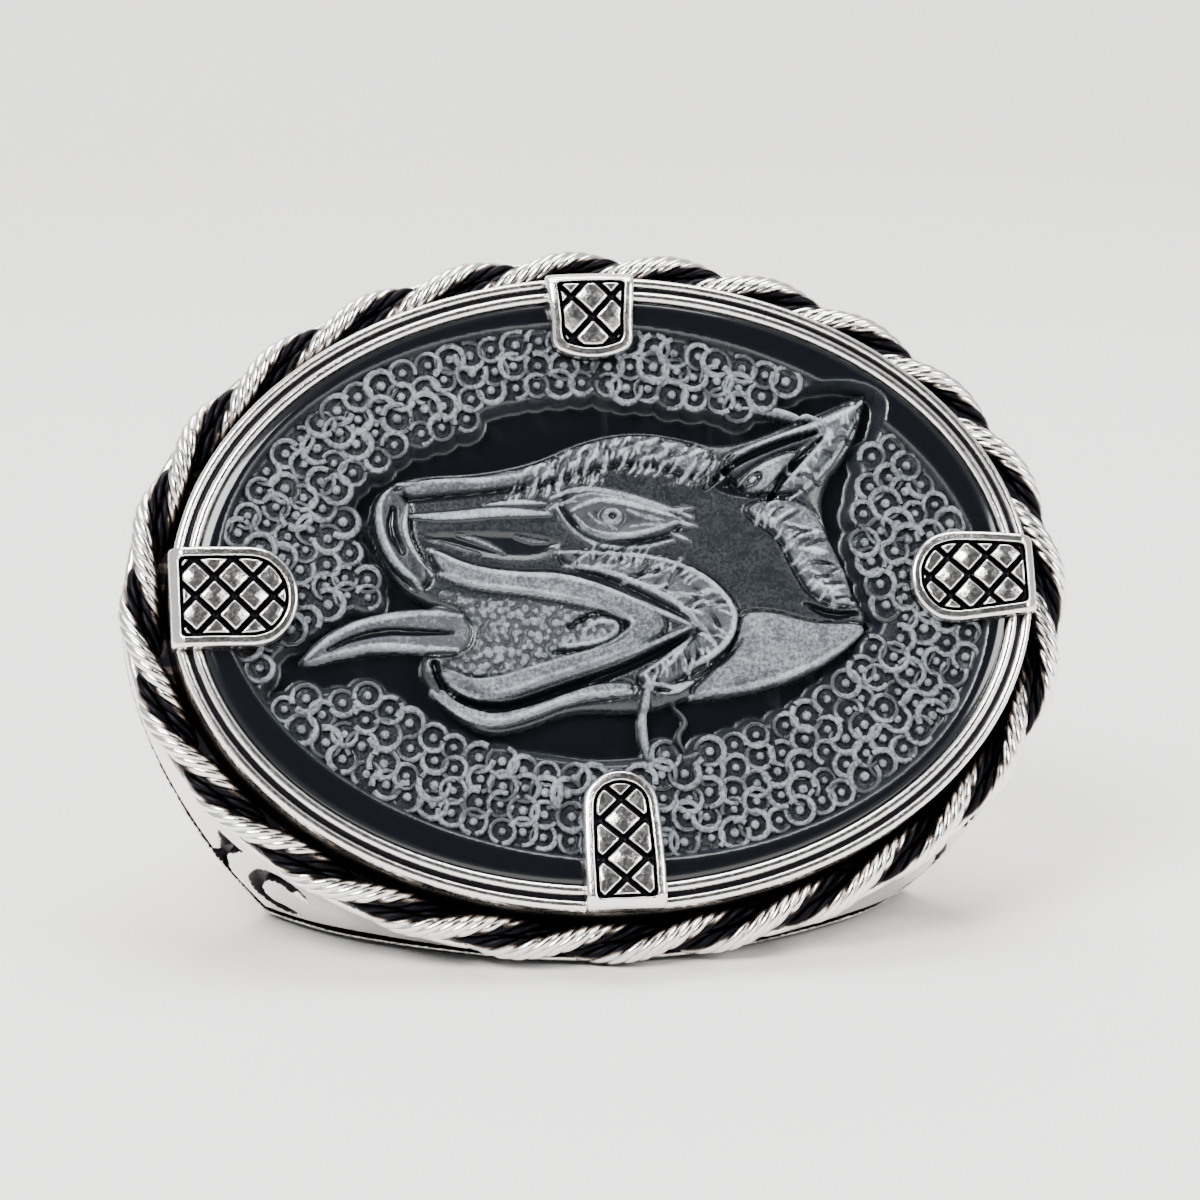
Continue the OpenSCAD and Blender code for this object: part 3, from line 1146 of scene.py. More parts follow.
@dataclass
class Bezel:
    """The bezel: two rolled lips with a fine dark groove between, swept round the stone.

    Attributes:
        shop: What the makers share.
        lips: For each lip, its distance out from the stone's edge, height under the
            bezel's top and radius.
        groove: Where the groove between them starts and ends, out from the stone's edge.
        steps: Sections round the oval.
    """

    shop: Workshop
    lips: tuple[Point3, ...] = ((0.08, 0.17, 0.2), (0.6, 0.24, 0.19))
    groove: Point = (0.2, 0.5)
    steps: int = 300

    def section(self) -> Array:
        """The closed section, as distance out from the stone's edge, height and shade.

        Returns:
            One point a row.
        """
        s = self.shop.sizes
        rows = [(0.0, s.ledge_n - 0.1, 1.0), (-0.1, s.bezel_n - 0.35, 0.8)]
        for out, drop, r in self.lips:
            for turn in np.linspace(math.pi * 0.93, math.pi * 0.07, 11):
                place, rise = out + r * math.cos(turn), r * math.sin(turn)
                dark = math.sin(turn) < 0.45 and self.groove[0] < place < self.groove[1]
                rows.append((place, s.bezel_n - drop + rise, 1.0 if dark else 0.0))
        rows += [
            (s.bezel_t - 0.01, s.bezel_n - 0.7, 0.2),
            (s.bezel_t, s.ledge_n + 0.9, 0.9),
            (s.bezel_t + 0.06, s.ledge_n + 0.2, 1.0),
            (s.bezel_t + 0.15, s.ledge_n - 0.1, 1.0),
        ]
        return np.array(rows)

    def tree(self) -> Nodes:
        """Builds the tree that sweeps the piece's own outline round an oval.

        Returns:
            The tree.
        """
        kinds = {"Half Length": "Float", "Half Width": "Float", "Steps": "Int"}
        tree, out = new_tree("swept_round_oval", kinds)
        oval = oval_curve(tree, out, out["Steps"])
        upright = add_node(tree, "GeometryNodeSetCurveNormal", {"Curve": oval}, mode="Z_UP")
        section = add_node(tree, "GeometryNodeMeshToCurve", {"Mesh": out["Geometry"]})
        end_tree(tree, curve_mesh(tree, upright.outputs[0], section.outputs[0]), out["Material"])
        return tree

    def build(self) -> Piece:
        """Sweeps the bezel.

        Returns:
            The piece.
        """
        s = self.shop.sizes
        rows = self.section()
        mesh = bpy.data.meshes.new("bezel")
        # Swept upright, a profile's x points out of the oval and its y points down
        points = [(out * MM, -height * MM, 0.0) for out, height, _ in rows]
        mesh.from_pydata(points, [(i, (i + 1) % len(rows)) for i in range(len(rows))], [])
        paint(mesh, "shade", rows[:, 2])
        piece = link("bezel", mesh)
        values = {"Half Length": s.stone_a * MM, "Half Width": s.stone_b * MM, "Steps": self.steps}
        grow(piece, self.tree(), values | {"Material": self.shop.silver})
        return self.shop.finish(piece, Slot.SILVER, in_mm=False)


@dataclass
class RopeBorder:
    """The twisted rope: two strands, each laid up from fine wires.

    Attributes:
        shop: What the makers share.
        twists: Turns of the strands in one lap.
        wires: Wires in a strand.
        wire_twists: Turns of a strand's wires in one lap.
        strand_out: Distance of a strand's middle from the rope's.
        wire_out: Distance of a wire's middle from its strand's.
        wire_r: Radius of a wire.
        wire_sides: Sides of a wire's section.
        steps: Points along one lap.
        oval_points: Points of the oval that the laps follow.
        deep: Shares of the rope's radius where black starts between the wires, and is full.
        inner: The same on the side of the bezel, as places out from the centre line.
        under: The same on the rope's underside, as heights over the centre line.
    """

    shop: Workshop
    twists: int = 12
    wires: int = 5
    wire_twists: int = 34
    strand_out: float = 0.41
    wire_out: float = 0.26
    wire_r: float = 0.18
    wire_sides: int = 8
    steps: int = 720
    oval_points: int = 256
    deep: Point = (0.8, 0.55)
    inner: Point = (-0.28, -0.72)
    under: Point = (-0.35, -0.7)

    def values(self) -> dict[str, Any]:
        """A value for each input of the tree, in metres where it is a length."""
        s = self.shop.sizes
        return {
            "Half Length": s.rope.a * MM,
            "Half Width": s.rope.b * MM,
            "Height": s.rope_n * MM,
            "Strand Out": self.strand_out * MM,
            "Wire Out": self.wire_out * MM,
            "Wire Radius": self.wire_r * MM,
            "Steps": self.steps,
            "Twists": self.twists,
            "Wires": self.wires,
            "Wire Twists": self.wire_twists,
        }

    def tree(self) -> Nodes:
        """Builds the tree that lays the wires along the oval.

        Returns:
            The tree.
        """
        values = self.values().items()
        kinds = {key: "Int" if isinstance(value, int) else "Float" for key, value in values}
        tree, out = new_tree("laid_rope", kinds)
        oval = oval_curve(tree, out, self.oval_points, out["Height"])
        even = add_node(tree, "GeometryNodeResampleCurve", {"Curve": oval, "Count": out["Steps"]})
        inputs = {"Geometry": even.outputs[0], "Amount": maths(tree, "MULTIPLY", out["Wires"], 2.0)}
        copies = add_node(tree, "GeometryNodeDuplicateElements", inputs, domain="SPLINE")
        ratio = maths(tree, "DIVIDE", copies.outputs["Duplicate Index"], out["Wires"])
        strand = maths(tree, "MULTIPLY", maths(tree, "FLOOR", ratio), 0.5)
        place = maths(tree, "FRACT", ratio)
        along = add_node(tree, "GeometryNodeSplineParameter").outputs["Factor"]
        tangent = add_node(tree, "GeometryNodeInputTangent").outputs[0]
        outward = vector_maths(tree, "CROSS_PRODUCT", {0: tangent, 1: (0.0, 0.0, 1.0)})
        offsets = []
        for turns, start, reach in (
            (out["Twists"], strand, out["Strand Out"]),
            (out["Wire Twists"], place, out["Wire Out"]),
        ):
            lap = maths(tree, "MULTIPLY_ADD", along, turns, start)
            angle = maths(tree, "MULTIPLY", lap, math.tau)
            level = vector_maths(tree, "SCALE", {0: outward, "Scale": maths(tree, "COSINE", angle)})
            upward = add_node(tree, "ShaderNodeCombineXYZ", {2: maths(tree, "SINE", angle)})
            both = vector_maths(tree, "ADD", {0: level, 1: upward.outputs[0]})
            offsets.append(vector_maths(tree, "SCALE", {0: both, "Scale": reach}))
        offset = vector_maths(tree, "ADD", dict(enumerate(offsets)))
        inputs = {"Geometry": copies.outputs[0], "Offset": offset}
        laid = add_node(tree, "GeometryNodeSetPosition", inputs)
        wire = circle(tree, self.wire_sides, out["Wire Radius"])
        end_tree(tree, curve_mesh(tree, laid.outputs[0], wire), out["Material"])
        return tree

    def shade(self, u: Array, v: Array, n: Array) -> Array:
        """Works out how black the rope is: deep between its wires and beside the bezel.

        Args:
            u: Places along the oval.
            v: Places towards the fingertip.
            n: Heights.

        Returns:
            The blackness at each place, from 0 to 1.
        """
        s = self.shop.sizes
        beside = s.rope.distance(u, v)
        radius = np.hypot(beside, n - s.rope_n)
        deep = step_up(radius, *(share * s.rope_d / 2 for share in self.deep))
        inner = 0.9 * step_up(beside, *self.inner)
        under = 0.7 * step_up(n - s.rope_n, *self.under)
        return np.maximum(np.maximum(deep, inner), under)

    def build(self) -> Piece:
        """Lays the rope.

        Returns:
            The piece.
        """
        piece = link("rope_border", bpy.data.meshes.new("rope_border"))
        grow(piece, self.tree(), self.values() | {"Material": self.shop.silver})
        paint(piece.data, "shade", self.shade(*(mesh_points(piece.data) / MM).T))
        return self.shop.finish(piece, Slot.SILVER, in_mm=False)


@dataclass(frozen=True)
class Claw:
    """One claw, a tab bent over the bezel with a raised rim round a field of lozenges.

    Attributes:
        name: The piece's name.
        toward_deg: Its direction round the head.
        length: How far it reaches in from the bezel's outside.
        width: Its width where its round end starts.
        root: Its width at the bezel's outside.
        round_share: Share of its end that is round.
        pitch: Spacing of the slanting cuts between the lozenges, along its length.
        slant_deg: Slant of those cuts from its length.
        shift: How far along its length the lozenges are moved.
        rim_w: Width of its raised rim.
        cut: Depth of the cuts.
        swell: How far a lozenge's middle stands over its edge.
        bend: How far the tab falls towards its end.
        crown: How far it falls towards its sides.
        corner_round: Width over which its outline's corners are rounded.
        root_round: Width over which they are at the bezel's outside.
        edge_round: Width over which its upper edge is rounded.
        cut_w: Distances from a cut's middle where it starts, and where it is full.
        border_w: The same for the cut along the inside of the rim.
    """

    name: str
    toward_deg: float
    length: float
    width: float
    root: float
    round_share: float
    pitch: float = 1.4
    slant_deg: float = 45.0
    shift: float = 0.0
    rim_w: float = 0.36
    cut: float = 0.28
    swell: float = 0.09
    bend: float = 0.35
    crown: float = 0.12
    corner_round: float = 0.3
    root_round: float = 0.2
    edge_round: float = 0.16
    cut_w: Point = (0.13, 0.04)
    border_w: Point = (0.08, 0.01)

    def outline(self, x: Array, y: Array) -> Array:
        """Measures the distance to the tab's flat outline.

        Args:
            x: Distance in from the bezel's outside.
            y: Distance across.

        Returns:
            The distance at each place, negative inside.
        """
        tip_r = self.width / 2 / self.round_share
        tip = np.hypot(np.maximum(x - self.length + tip_r, 0.0), y) - tip_r
        spread = (self.root - self.width) / 2 * np.clip(1 - x / (self.length - self.width / 2), 0, 1)
        sides = np.abs(y) - self.width / 2 - spread
        return smooth_max(smooth_max(tip, sides, self.corner_round), -x, self.root_round)

    def lozenges(self, x: Array, y: Array) -> tuple[Array, Array]:
        """Works out the face between the rims for both sets of slanting cuts.

        Args:
            x: Distance in from the bezel's outside.
            y: Distance across.

        Returns:
            Distance to the nearest cut, and how far a lozenge swells there, from 0 to 1.
        """
        slant = math.radians(self.slant_deg)
        period = self.pitch * math.sin(slant)
        along = (x - self.length / 2 - self.shift) * math.sin(slant)
        turns = [(along + side * y * math.cos(slant)) / period + 0.5 for side in (-1, 1)]
        away = [np.abs(turn % 1.0 - 0.5) * period for turn in turns]
        swell = np.sqrt(np.clip(4 * away[0] * away[1] / period**2, 0.0, 1.0))
        return np.minimum(*away), swell

    def cuts(self, x: Array, y: Array) -> Array:
        """Works out how deep the face is cut between the lozenges and along the rim.

        Args:
            x: Distance in from the bezel's outside.
            y: Distance across.

        Returns:
            The share of the full depth at each place, from 0 to 1.
        """
        nearest, _ = self.lozenges(x, y)
        inside = step_up(self.outline(x, y), -self.rim_w + 0.05, -self.rim_w - 0.07)
        border = step_up(np.abs(self.outline(x, y) + self.rim_w + 0.05), *self.border_w)
        return np.maximum(inside * step_up(nearest, *self.cut_w), border)

    def rule(self, x: Array, y: Array, z: Array, top: float, foot: float) -> Array:
        """Measures the distance to the claw's surface.

        Args:
            x: Distance in from the bezel's outside.
            y: Distance across.
            z: Height.
            top: Height of its highest part.
            foot: Height of its lowest.

        Returns:
            The distance, negative inside.
        """
        bent = top - self.bend * step_up(x, 0.9, self.length) - 0.5 * step_up(x, 0.5, -0.3)
        _, swell = self.lozenges(x, y)
        inside = step_up(self.outline(x, y), -self.rim_w, -self.rim_w - 0.1)
        face = bent - self.crown * (2 * y / self.width) ** 2 - self.cut * self.cuts(x, y)
        face = face - self.swell * inside * (1 - swell)
        tab = smooth_max(self.outline(x, y), z - face, self.edge_round)
        return smooth_max(tab, foot - z, 0.1)

    def build(self, shop: Workshop) -> Piece:
        """Meshes the claw and turns it to its place on the bezel.

        Args:
            shop: What the makers share.

        Returns:
            The piece.
        """
        s = shop.sizes
        foot = s.field_n - 0.2
        low = (-0.4, -self.width / 2 - 0.6, foot - 0.3)
        high = (self.length + 0.4, self.width / 2 + 0.6, s.claw_n + 0.3)
        mesher = Mesher(low, high, step=0.055, triangles=30_000)
        piece = mesher.build(self.name, lambda x, y, z: self.rule(x, y, z, s.claw_n, foot))
        x, y, z = mesh_points(piece.data).T
        shade = self.cuts(x, y) * step_up(z, s.bezel_n, s.bezel_n + 0.1)
        paint(piece.data, "shade", np.maximum(shade, step_up(z, s.bezel_n + 0.15, s.bezel_n - 0.2)))
        upright = self.toward_deg % 180 != 0
        reach = (s.stone_b if upright else s.stone_a) + s.bezel_t
        place = Matrix.Rotation(math.radians(self.toward_deg), 4, "Z")
        inward = Matrix.Translation((reach, 0, 0)) @ Matrix.Rotation(math.pi, 4, "Z")
        piece.data.transform(place @ inward)
        return shop.finish(piece, Slot.SILVER)


CLAWS = (
    Claw("claw_top", 90.0, 3.2, 3.0, 3.3, 0.55, pitch=1.5, shift=0.1),
    Claw("claw_left", 180.0, 4.6, 3.8, 3.8, 1.0),
    Claw("claw_right", 0.0, 4.6, 3.5, 2.8, 1.0, shift=0.2),
    Claw("claw_bottom", 270.0, 5.0, 2.9, 3.8, 1.0, pitch=1.45, slant_deg=48.0),
)


class ReliefMap:
    """Height and tone of the carving over its floor, on a fine square grid."""

    def __init__(self, low: Point, high: Point, step: float) -> None:
        """Starts with bare floor.

        Args:
            low: Lowest corner of the grid.
            high: Highest corner.
            step: Spacing of its points.
        """
        self.low = low
        self.step = step
        self.u = np.arange(low[0], high[0] + step, step)[:, None]
        self.v = np.arange(low[1], high[1] + step, step)[None, :]
        shape = (self.u.shape[0], self.v.shape[1])
        self.height = np.zeros(shape)
        self.tone = np.zeros(shape)

    def window(self, points: Array, margin: float) -> Box:
        """Finds the part of the grid within a margin of some points.

        Args:
            points: The points.
            margin: Room round them.

        Returns:
            The rows and columns of that part.
        """
        lowest = (points.min(axis=0) - margin - self.low) / self.step
        highest = (points.max(axis=0) + margin - self.low) / self.step
        first = np.clip(np.floor(lowest), 0, None).astype(int)
        last = np.clip(np.ceil(highest) + 1, 0, None).astype(int)
        return slice(first[0], last[0]), slice(first[1], last[1])

    def away(self, points: Array, closed: bool, box: Box) -> tuple[Array, Array]:
        """Measures the distance to a line or outline over part of the grid.

        Args:
            points: The line's points.
            closed: Whether the last point joins the first, and inside is negative.
            box: The part of the grid.

        Returns:
            The distance, and how far along the line the nearest point lies, from 0 to 1.
        """
        u, v = self.u[box[0]], self.v[:, box[1]]
        ends = np.roll(points, -1, axis=0)
        if not closed:
            points, ends = points[:-1], ends[:-1]
        legs = np.hypot(*(ends - points).T)
        run = np.concatenate([[0.0], np.cumsum(legs)])
        best = np.full((u.shape[0], v.shape[1]), 1e9)
        along = np.zeros(best.shape)
        inside = np.zeros(best.shape, bool)
        for i, (a, b) in enumerate(zip(points, ends)):
            e = b - a
            x, y = u - a[0], v - a[1]
            share = np.clip((x * e[0] + y * e[1]) / max(e @ e, 1e-12), 0.0, 1.0)
            gap = (x - e[0] * share) ** 2 + (y - e[1] * share) ** 2
            nearer = gap < best
            best = np.where(nearer, gap, best)
            along = np.where(nearer, run[i] + share * legs[i], along)
            if closed and abs(e[1]) > 1e-9:
                inside ^= ((a[1] > v) != (b[1] > v)) & (x < e[0] * y / e[1])
        return np.where(inside, -1.0, 1.0) * np.sqrt(best), along / run[-1]

    def outline(self, points: Line, margin: float = 0.6) -> tuple[Box, Array]:
        """Measures the distance to an outline over the part of the grid round it.

        Args:
            points: The outline's corners, which are softened.
            margin: Room round it.

        Returns:
            The rows and columns of that part, and the distance there, negative inside.
        """
        soft = softened(points)
        box = self.window(soft, margin)
        return box, self.away(soft, True, box)[0]

    def blend(self, box: Box, tone: float, share: Array) -> None:
        """Brings part of the grid to a tone by a share."""
        self.tone[box] += (tone - self.tone[box]) * share

    def at(self, layer: Array, u: Array, v: Array) -> Array:
        """Reads a layer between the grid's points.

        Args:
            layer: The height or the tone.
            u: Places along the oval.
            v: Places towards the fingertip.

        Returns:
            The layer's value at each place.
        """
        x = np.clip((u - self.low[0]) / self.step, 0, layer.shape[0] - 1.001)
        y = np.clip((v - self.low[1]) / self.step, 0, layer.shape[1] - 1.001)
        i, j = x.astype(int), y.astype(int)
        x, y = x - i, y - j
        near = layer[i, j] * (1 - y) + layer[i, j + 1] * y
        far = layer[i + 1, j] * (1 - y) + layer[i + 1, j + 1] * y
        return near * (1 - x) + far * x


@dataclass(frozen=True)
class Form:
    """A rounded form that is raised, with a fine dark groove round its foot.

    Attributes:
        line: Its outline.
        height: Its height over the floor.
        tone: Its tone.
        shoulder: Width over which its edge is rounded.
        groove: Depth of the groove, whose tone is darkened there as painted shade.
    """

    line: Line
    height: float
    tone: float
    shoulder: float = 0.45
    groove: float = 0.1

    def carve(self, relief: ReliefMap) -> None:
        """Raises the form.

        Args:
            relief: The map that is carved.
        """
        edge, foot_share, groove_at, groove_w, groove_shade = 0.04, 0.45, 0.05, 0.09, 0.75
        box, away = relief.outline(self.line)
        inside = step_up(away, edge, -edge)
        lift = np.sqrt(np.clip(1 - (1 + np.minimum(away, 0.0) / self.shoulder).clip(0) ** 2, 0, 1))
        base = relief.height[box]
        form = base + (self.height - base) * (foot_share + (1 - foot_share) * lift)
        moat = np.exp(-(((away - groove_at) / groove_w) ** 2))
        raised = np.where(away < 0, np.maximum(form, base * inside), base)
        relief.height[box] = raised - self.groove * moat
        relief.blend(box, self.tone, inside)
        # Painted shade: the tone is darkened in the fine groove round the form's foot
        relief.tone[box] *= 1 - groove_shade * moat * step_up(away, -0.06, 0.02)


@dataclass(frozen=True)
class Hollow:
    """An area that is lowered.

    Attributes:
        line: Its outline.
        depth: How far it is lowered.
        tone: Its tone.
    """

    line: Line
    depth: float
    tone: float

    def carve(self, relief: ReliefMap) -> None:
        """Lowers the area.

        Args:
            relief: The map that is carved.
        """
        box, away = relief.outline(self.line)
        within = step_up(away, 0.08, -0.34)
        relief.height[box] -= self.depth * within
        relief.blend(box, self.tone, within)


@dataclass(frozen=True)
class Pebbles:
    """An area that is filled with small round grains in uneven rows.

    Attributes:
        line: Its outline.
        pitch: Spacing of the grains.
        rise: Height of a grain.
        tone: Tone of a grain.
        seed: Seed for their unevenness.
    """

    line: Line
    pitch: float
    rise: float
    tone: float
    seed: int = 3

    def carve(self, relief: ReliefMap) -> None:
        """Sets the grains.

        Args:
            relief: The map that is carved.
        """
        box, away = relief.outline(self.line)
        chance = np.random.default_rng(self.seed)
        u, v = np.broadcast_arrays(relief.u[box[0]], relief.v[:, box[1]])
        grains = np.zeros(u.shape)
        for k, row in enumerate(np.arange(v.min(), v.max(), 0.87 * self.pitch)):
            for column in np.arange(u.min() + k % 2 * self.pitch / 2, u.max(), self.pitch):
                spot = np.array([column, row]) + chance.uniform(-0.3, 0.3, 2) * self.pitch
                size = chance.uniform(0.4, 0.66) * self.pitch
                span = np.hypot(u - spot[0], v - spot[1])
                grains = np.maximum(grains, np.clip(1 - (span / size) ** 2, 0, 1))
        grains *= step_up(away, -0.05, -0.2)
        relief.height[box] += self.rise * np.sqrt(grains)
        relief.blend(box, self.tone, step_up(grains, 0.1, 0.6))


@dataclass(frozen=True)
class Stroke:
    """A line, raised or cut, that thins out towards its ends.

    Attributes:
        line: Its points.
        width: Its greatest width.
        rise: Its height over what it lies on, negative for a cut.
        tone: Its tone.
        taper: Share of the width lost at the ends.
    """

    line: Line
    width: float
    rise: float
    tone: float
    taper: float = 0.7

    def carve(self, relief: ReliefMap) -> None:
        """Raises or cuts the line.

        Args:
            relief: The map that is carved.
        """
        line = softened(self.line, closed=False, rounds=min(2, len(self.line) - 2))
        box = relief.window(line, self.width)
        away, along = relief.away(line, False, box)
        half = self.width / 2 * (1 - self.taper * (2 * along - 1) ** 2)
        bump = np.clip(1 - (away / np.maximum(half, 1e-3)) ** 2, 0, 1)
        relief.height[box] += self.rise * np.sqrt(bump)
        relief.blend(box, self.tone, step_up(bump, 0.05, 0.5))


@dataclass(frozen=True)
class Tufts:
    """A row of short uneven hairs along a line.

    Attributes:
        line: The line that their roots follow.
        pitch: Spacing of their roots.
        length: Length of a hair.
        lean_deg: Turn of a hair from the line's direction.
        width: Width of a hair.
        rise: Height of a hair, negative for a cut.
        tone: Tone of a hair.
    """

    line: Line
    pitch: float
    length: float
    lean_deg: float
    width: float
    rise: float
    tone: float

    def carve(self, relief: ReliefMap) -> None:
        """Sets the hairs.

        Args:
            relief: The map that is carved.
        """
        line = np.array(self.line, float)
        run = np.concatenate([[0.0], np.cumsum(np.hypot(*np.diff(line, axis=0).T))])
        chance = np.random.default_rng(len(line) + int(100 * self.length))
        for place in np.arange(self.pitch / 2, run[-1], self.pitch):
            root, ahead = (
                np.array([np.interp(p, run, line[:, i]) for i in (0, 1)]) for p in (place, place + 0.05)
            )
            lean = math.radians(self.lean_deg + chance.uniform(-26, 26))
            heading = math.atan2(*(ahead - root)[::-1]) + lean
            reach = self.length * chance.uniform(0.65, 1.4)
            bowed = heading + chance.uniform(-0.1, 0.3)
            root = root + chance.uniform(-0.5, 0.5, 2) * self.pitch
            middle = root + reach / 2 * np.array([math.cos(bowed), math.sin(bowed)])
            tip = root + reach * np.array([math.cos(heading - 0.1), math.sin(heading - 0.1)])
            hair = (tuple(root), tuple(middle), tuple(tip))
            thick = self.width * chance.uniform(0.8, 1.25)
            Stroke(hair, thick, self.rise, self.tone, taper=0.6).carve(relief)


HEAD: Line = (
    (-8.4, 2.3), (-8.5, 3.4), (-7.9, 4.2), (-6.6, 4.6), (-4.4, 4.6), (-2.3, 5.0), (-0.5, 5.8),
    (1.4, 6.1), (3.2, 5.8), (4.8, 5.3), (7.6, 6.3), (10.3, 7.4), (10.2, 7.0), (9.6, 5.1), (8.1, 3.4),
    (8.6, 1.3), (9.2, -0.4), (9.9, -1.4), (8.1, -2.6), (5.8, -3.5), (2.7, -4.1), (1.2, -4.6),
    (-1.4, -4.4), (-3.0, -5.0), (-4.5, -5.3), (-5.7, -4.6), (-6.7, -3.4), (-7.0, -2.5),
    (-6.3, -1.6), (-6.3, -0.4), (-7.1, 0.0), (-8.0, 1.1),
)
TONGUE: Line = (
    (-5.2, -0.7), (-6.4, -0.35), (-8.4, -0.5), (-10.2, -1.1), (-11.3, -2.2), (-11.2, -2.4),
    (-9.2, -2.0), (-7.2, -2.0), (-5.6, -2.25), (-4.9, -1.6),
)
MOAT: Line = (
    (-9.6, 2.4), (-8.9, 4.4), (-7.2, 5.6), (-5.0, 6.6), (-2.6, 7.3), (0.2, 7.6), (2.8, 7.3), (4.8, 6.5),
    (6.6, 7.2), (9.0, 7.7), (10.9, 7.2), (10.5, 5.6), (9.2, 3.2), (9.7, 1.6), (10.1, 0.0), (10.4, -1.6),
    (8.4, -3.3), (6.9, -4.6), (4.8, -5.6), (2.6, -6.2), (-0.4, -6.5), (-2.4, -6.1), (-4.2, -5.8),
    (-6.0, -5.4), (-7.2, -4.6), (-8.4, -3.5), (-11.0, -3.4), (-12.6, -3.9), (-12.6, -2.9),
    (-11.8, -1.6), (-10.2, -0.5), (-8.0, 0.1), (-8.8, 1.2),
)
BROW: Line = (
    (-7.6, 3.9), (-6.4, 4.3), (-4.4, 4.3), (-2.2, 4.7), (-0.4, 5.5), (1.4, 5.8), (3.1, 5.5), (4.4, 4.9),
    (3.6, 4.1), (2.2, 4.7), (0.5, 4.8), (-1.2, 4.3), (-3.2, 3.9), (-5.6, 3.7), (-7.2, 3.6),
)
NOSE: Line = (
    (-7.6, 4.1), (-8.2, 3.6), (-8.3, 2.8), (-7.9, 1.3), (-6.9, 0.2), (-6.3, 0.6), (-6.8, 1.5),
    (-7.1, 2.4), (-7.0, 3.4),
)
LIDS: Line = (
    (-1.5, 3.3), (-0.6, 3.8), (0.6, 3.6), (1.8, 3.1), (3.0, 2.6), (2.5, 2.0), (1.0, 1.8), (-0.4, 2.1),
    (-1.1, 2.7),
)
LIPS: Line = (
    (-6.4, 1.8), (-4.9, 1.0), (-3.0, 0.7), (-1.6, 0.7), (0.4, 0.0), (2.6, -1.3), (0.7, -2.4),
    (-2.3, -3.3), (-4.4, -4.0), (-6.2, -3.1), (-5.9, -2.7), (-4.8, -3.3), (-2.3, -2.6), (0.1, -2.0),
    (0.8, -1.3), (0.1, -0.6), (-1.2, -0.4), (-3.0, 0.0), (-4.8, 0.2), (-6.0, 0.8),
)
JAW: Line = (
    (-6.4, -3.6), (-5.4, -4.4), (-4.4, -4.9), (-3.0, -4.6), (-1.5, -4.0), (0.6, -3.9), (0.9, -3.4),
    (-1.4, -3.5), (-3.0, -4.1), (-4.4, -4.5), (-5.3, -4.0), (-6.1, -3.4),
)
CHEEK: Line = (
    (-1.7, 1.5), (0.2, 1.4), (2.1, 1.2), (3.9, 0.4), (5.0, -1.1), (4.4, -2.4), (2.8, -3.2), (1.4, -3.9),
    (0.9, -3.2), (2.2, -2.5), (3.4, -1.8), (3.1, -1.1), (2.2, -0.6), (0.4, 0.4), (-1.3, 0.9),
)
THROAT: Line = (
    (4.9, -0.95), (6.2, -1.0), (7.6, -1.5), (9.7, -1.5), (9.2, -2.2), (7.3, -3.4), (4.9, -4.0),
    (2.7, -4.1), (3.6, -3.2), (4.7, -2.2),
)
RUFF: Line = (
    (5.2, 2.8), (6.5, 2.0), (7.0, 0.7), (7.6, -0.5), (9.1, -0.9), (9.0, 0.1), (8.5, 1.3), (7.9, 2.8),
    (7.0, 3.2), (5.9, 3.2),
)
EAR: Line = (
    (4.8, 4.9), (6.4, 5.5), (8.0, 6.1), (10.0, 7.0), (9.3, 5.3), (8.5, 4.6), (7.7, 3.6), (6.6, 3.4),
    (5.4, 3.6), (4.8, 4.2),
)
MOUTH: Line = (
    (-6.2, 0.3), (-4.6, -0.1), (-3.0, -0.2), (-1.0, -0.6), (0.1, -0.9), (0.6, -1.35), (0.1, -1.9),
    (-2.3, -2.7), (-4.9, -3.3), (-6.2, -2.6), (-5.0, -2.2), (-4.7, -1.5), (-5.1, -0.6), (-6.0, -0.2),
)
CHIN: Line = (
    (-6.35, -2.5), (-6.2, -3.2), (-5.5, -3.95), (-4.4, -4.25), (-3.2, -4.1), (-1.7, -3.6), (0.8, -2.85),
    (3.3, -1.6),
)
BRIDGE_HOLLOW: Line = (
    (-6.9, 2.35), (-4.5, 2.4), (-2.0, 2.2), (-1.4, 1.7), (-2.4, 1.1), (-4.6, 1.35), (-6.3, 1.9),
)
EYE_HOLLOW: Line = (
    (-1.1, 2.9), (0.2, 3.3), (1.8, 2.9), (2.9, 2.55), (1.6, 2.15), (0.2, 2.05), (-0.6, 2.3),
)
EAR_HOLLOW: Line = (
    (4.0, 3.8), (5.0, 4.3), (6.3, 5.0), (8.4, 5.7), (7.5, 4.6), (6.5, 3.5), (5.2, 3.3),
)
LEAF: Line = (
    (5.15, 3.9), (5.8, 4.5), (7.0, 5.0), (7.5, 4.95), (6.7, 4.2), (6.2, 3.6), (5.5, 3.4),
)
BROW_LOW: Line = ((4.7, 4.35), (3.6, 4.3), (2.4, 4.65), (0.8, 4.8), (-1.2, 4.35), (-3.2, 3.95))
BROW_MID: Line = ((4.6, 4.75), (3.0, 4.95), (0.8, 5.15), (-1.0, 4.8), (-2.6, 4.35))
BROW_TOP: Line = ((4.3, 5.15), (2.4, 5.5), (0.6, 5.55), (-1.0, 5.2), (-2.4, 4.75))
CHEEK_IN: Line = (
    (-1.4, 0.95), (0.3, 0.6), (2.2, -0.35), (3.2, -1.15), (3.2, -1.75), (2.2, -2.5), (1.1, -3.2),
)
CHEEK_MID: Line = ((-0.6, 1.1), (1.2, 0.85), (2.9, 0.15), (3.9, -0.9), (3.7, -2.0), (2.6, -2.9))
CHEEK_OUT: Line = (
    (-1.6, 1.45), (0.4, 1.35), (2.2, 1.1), (3.8, 0.3), (4.8, -1.1), (4.2, -2.35), (2.7, -3.1),
)
RUFF_MID: Line = ((5.5, 2.75), (6.6, 2.3), (7.3, 1.2), (7.7, 0.1), (8.5, -0.6))
EAR_BLADE: Line = ((7.0, 3.5), (7.9, 4.3), (8.7, 5.2), (9.5, 6.2))

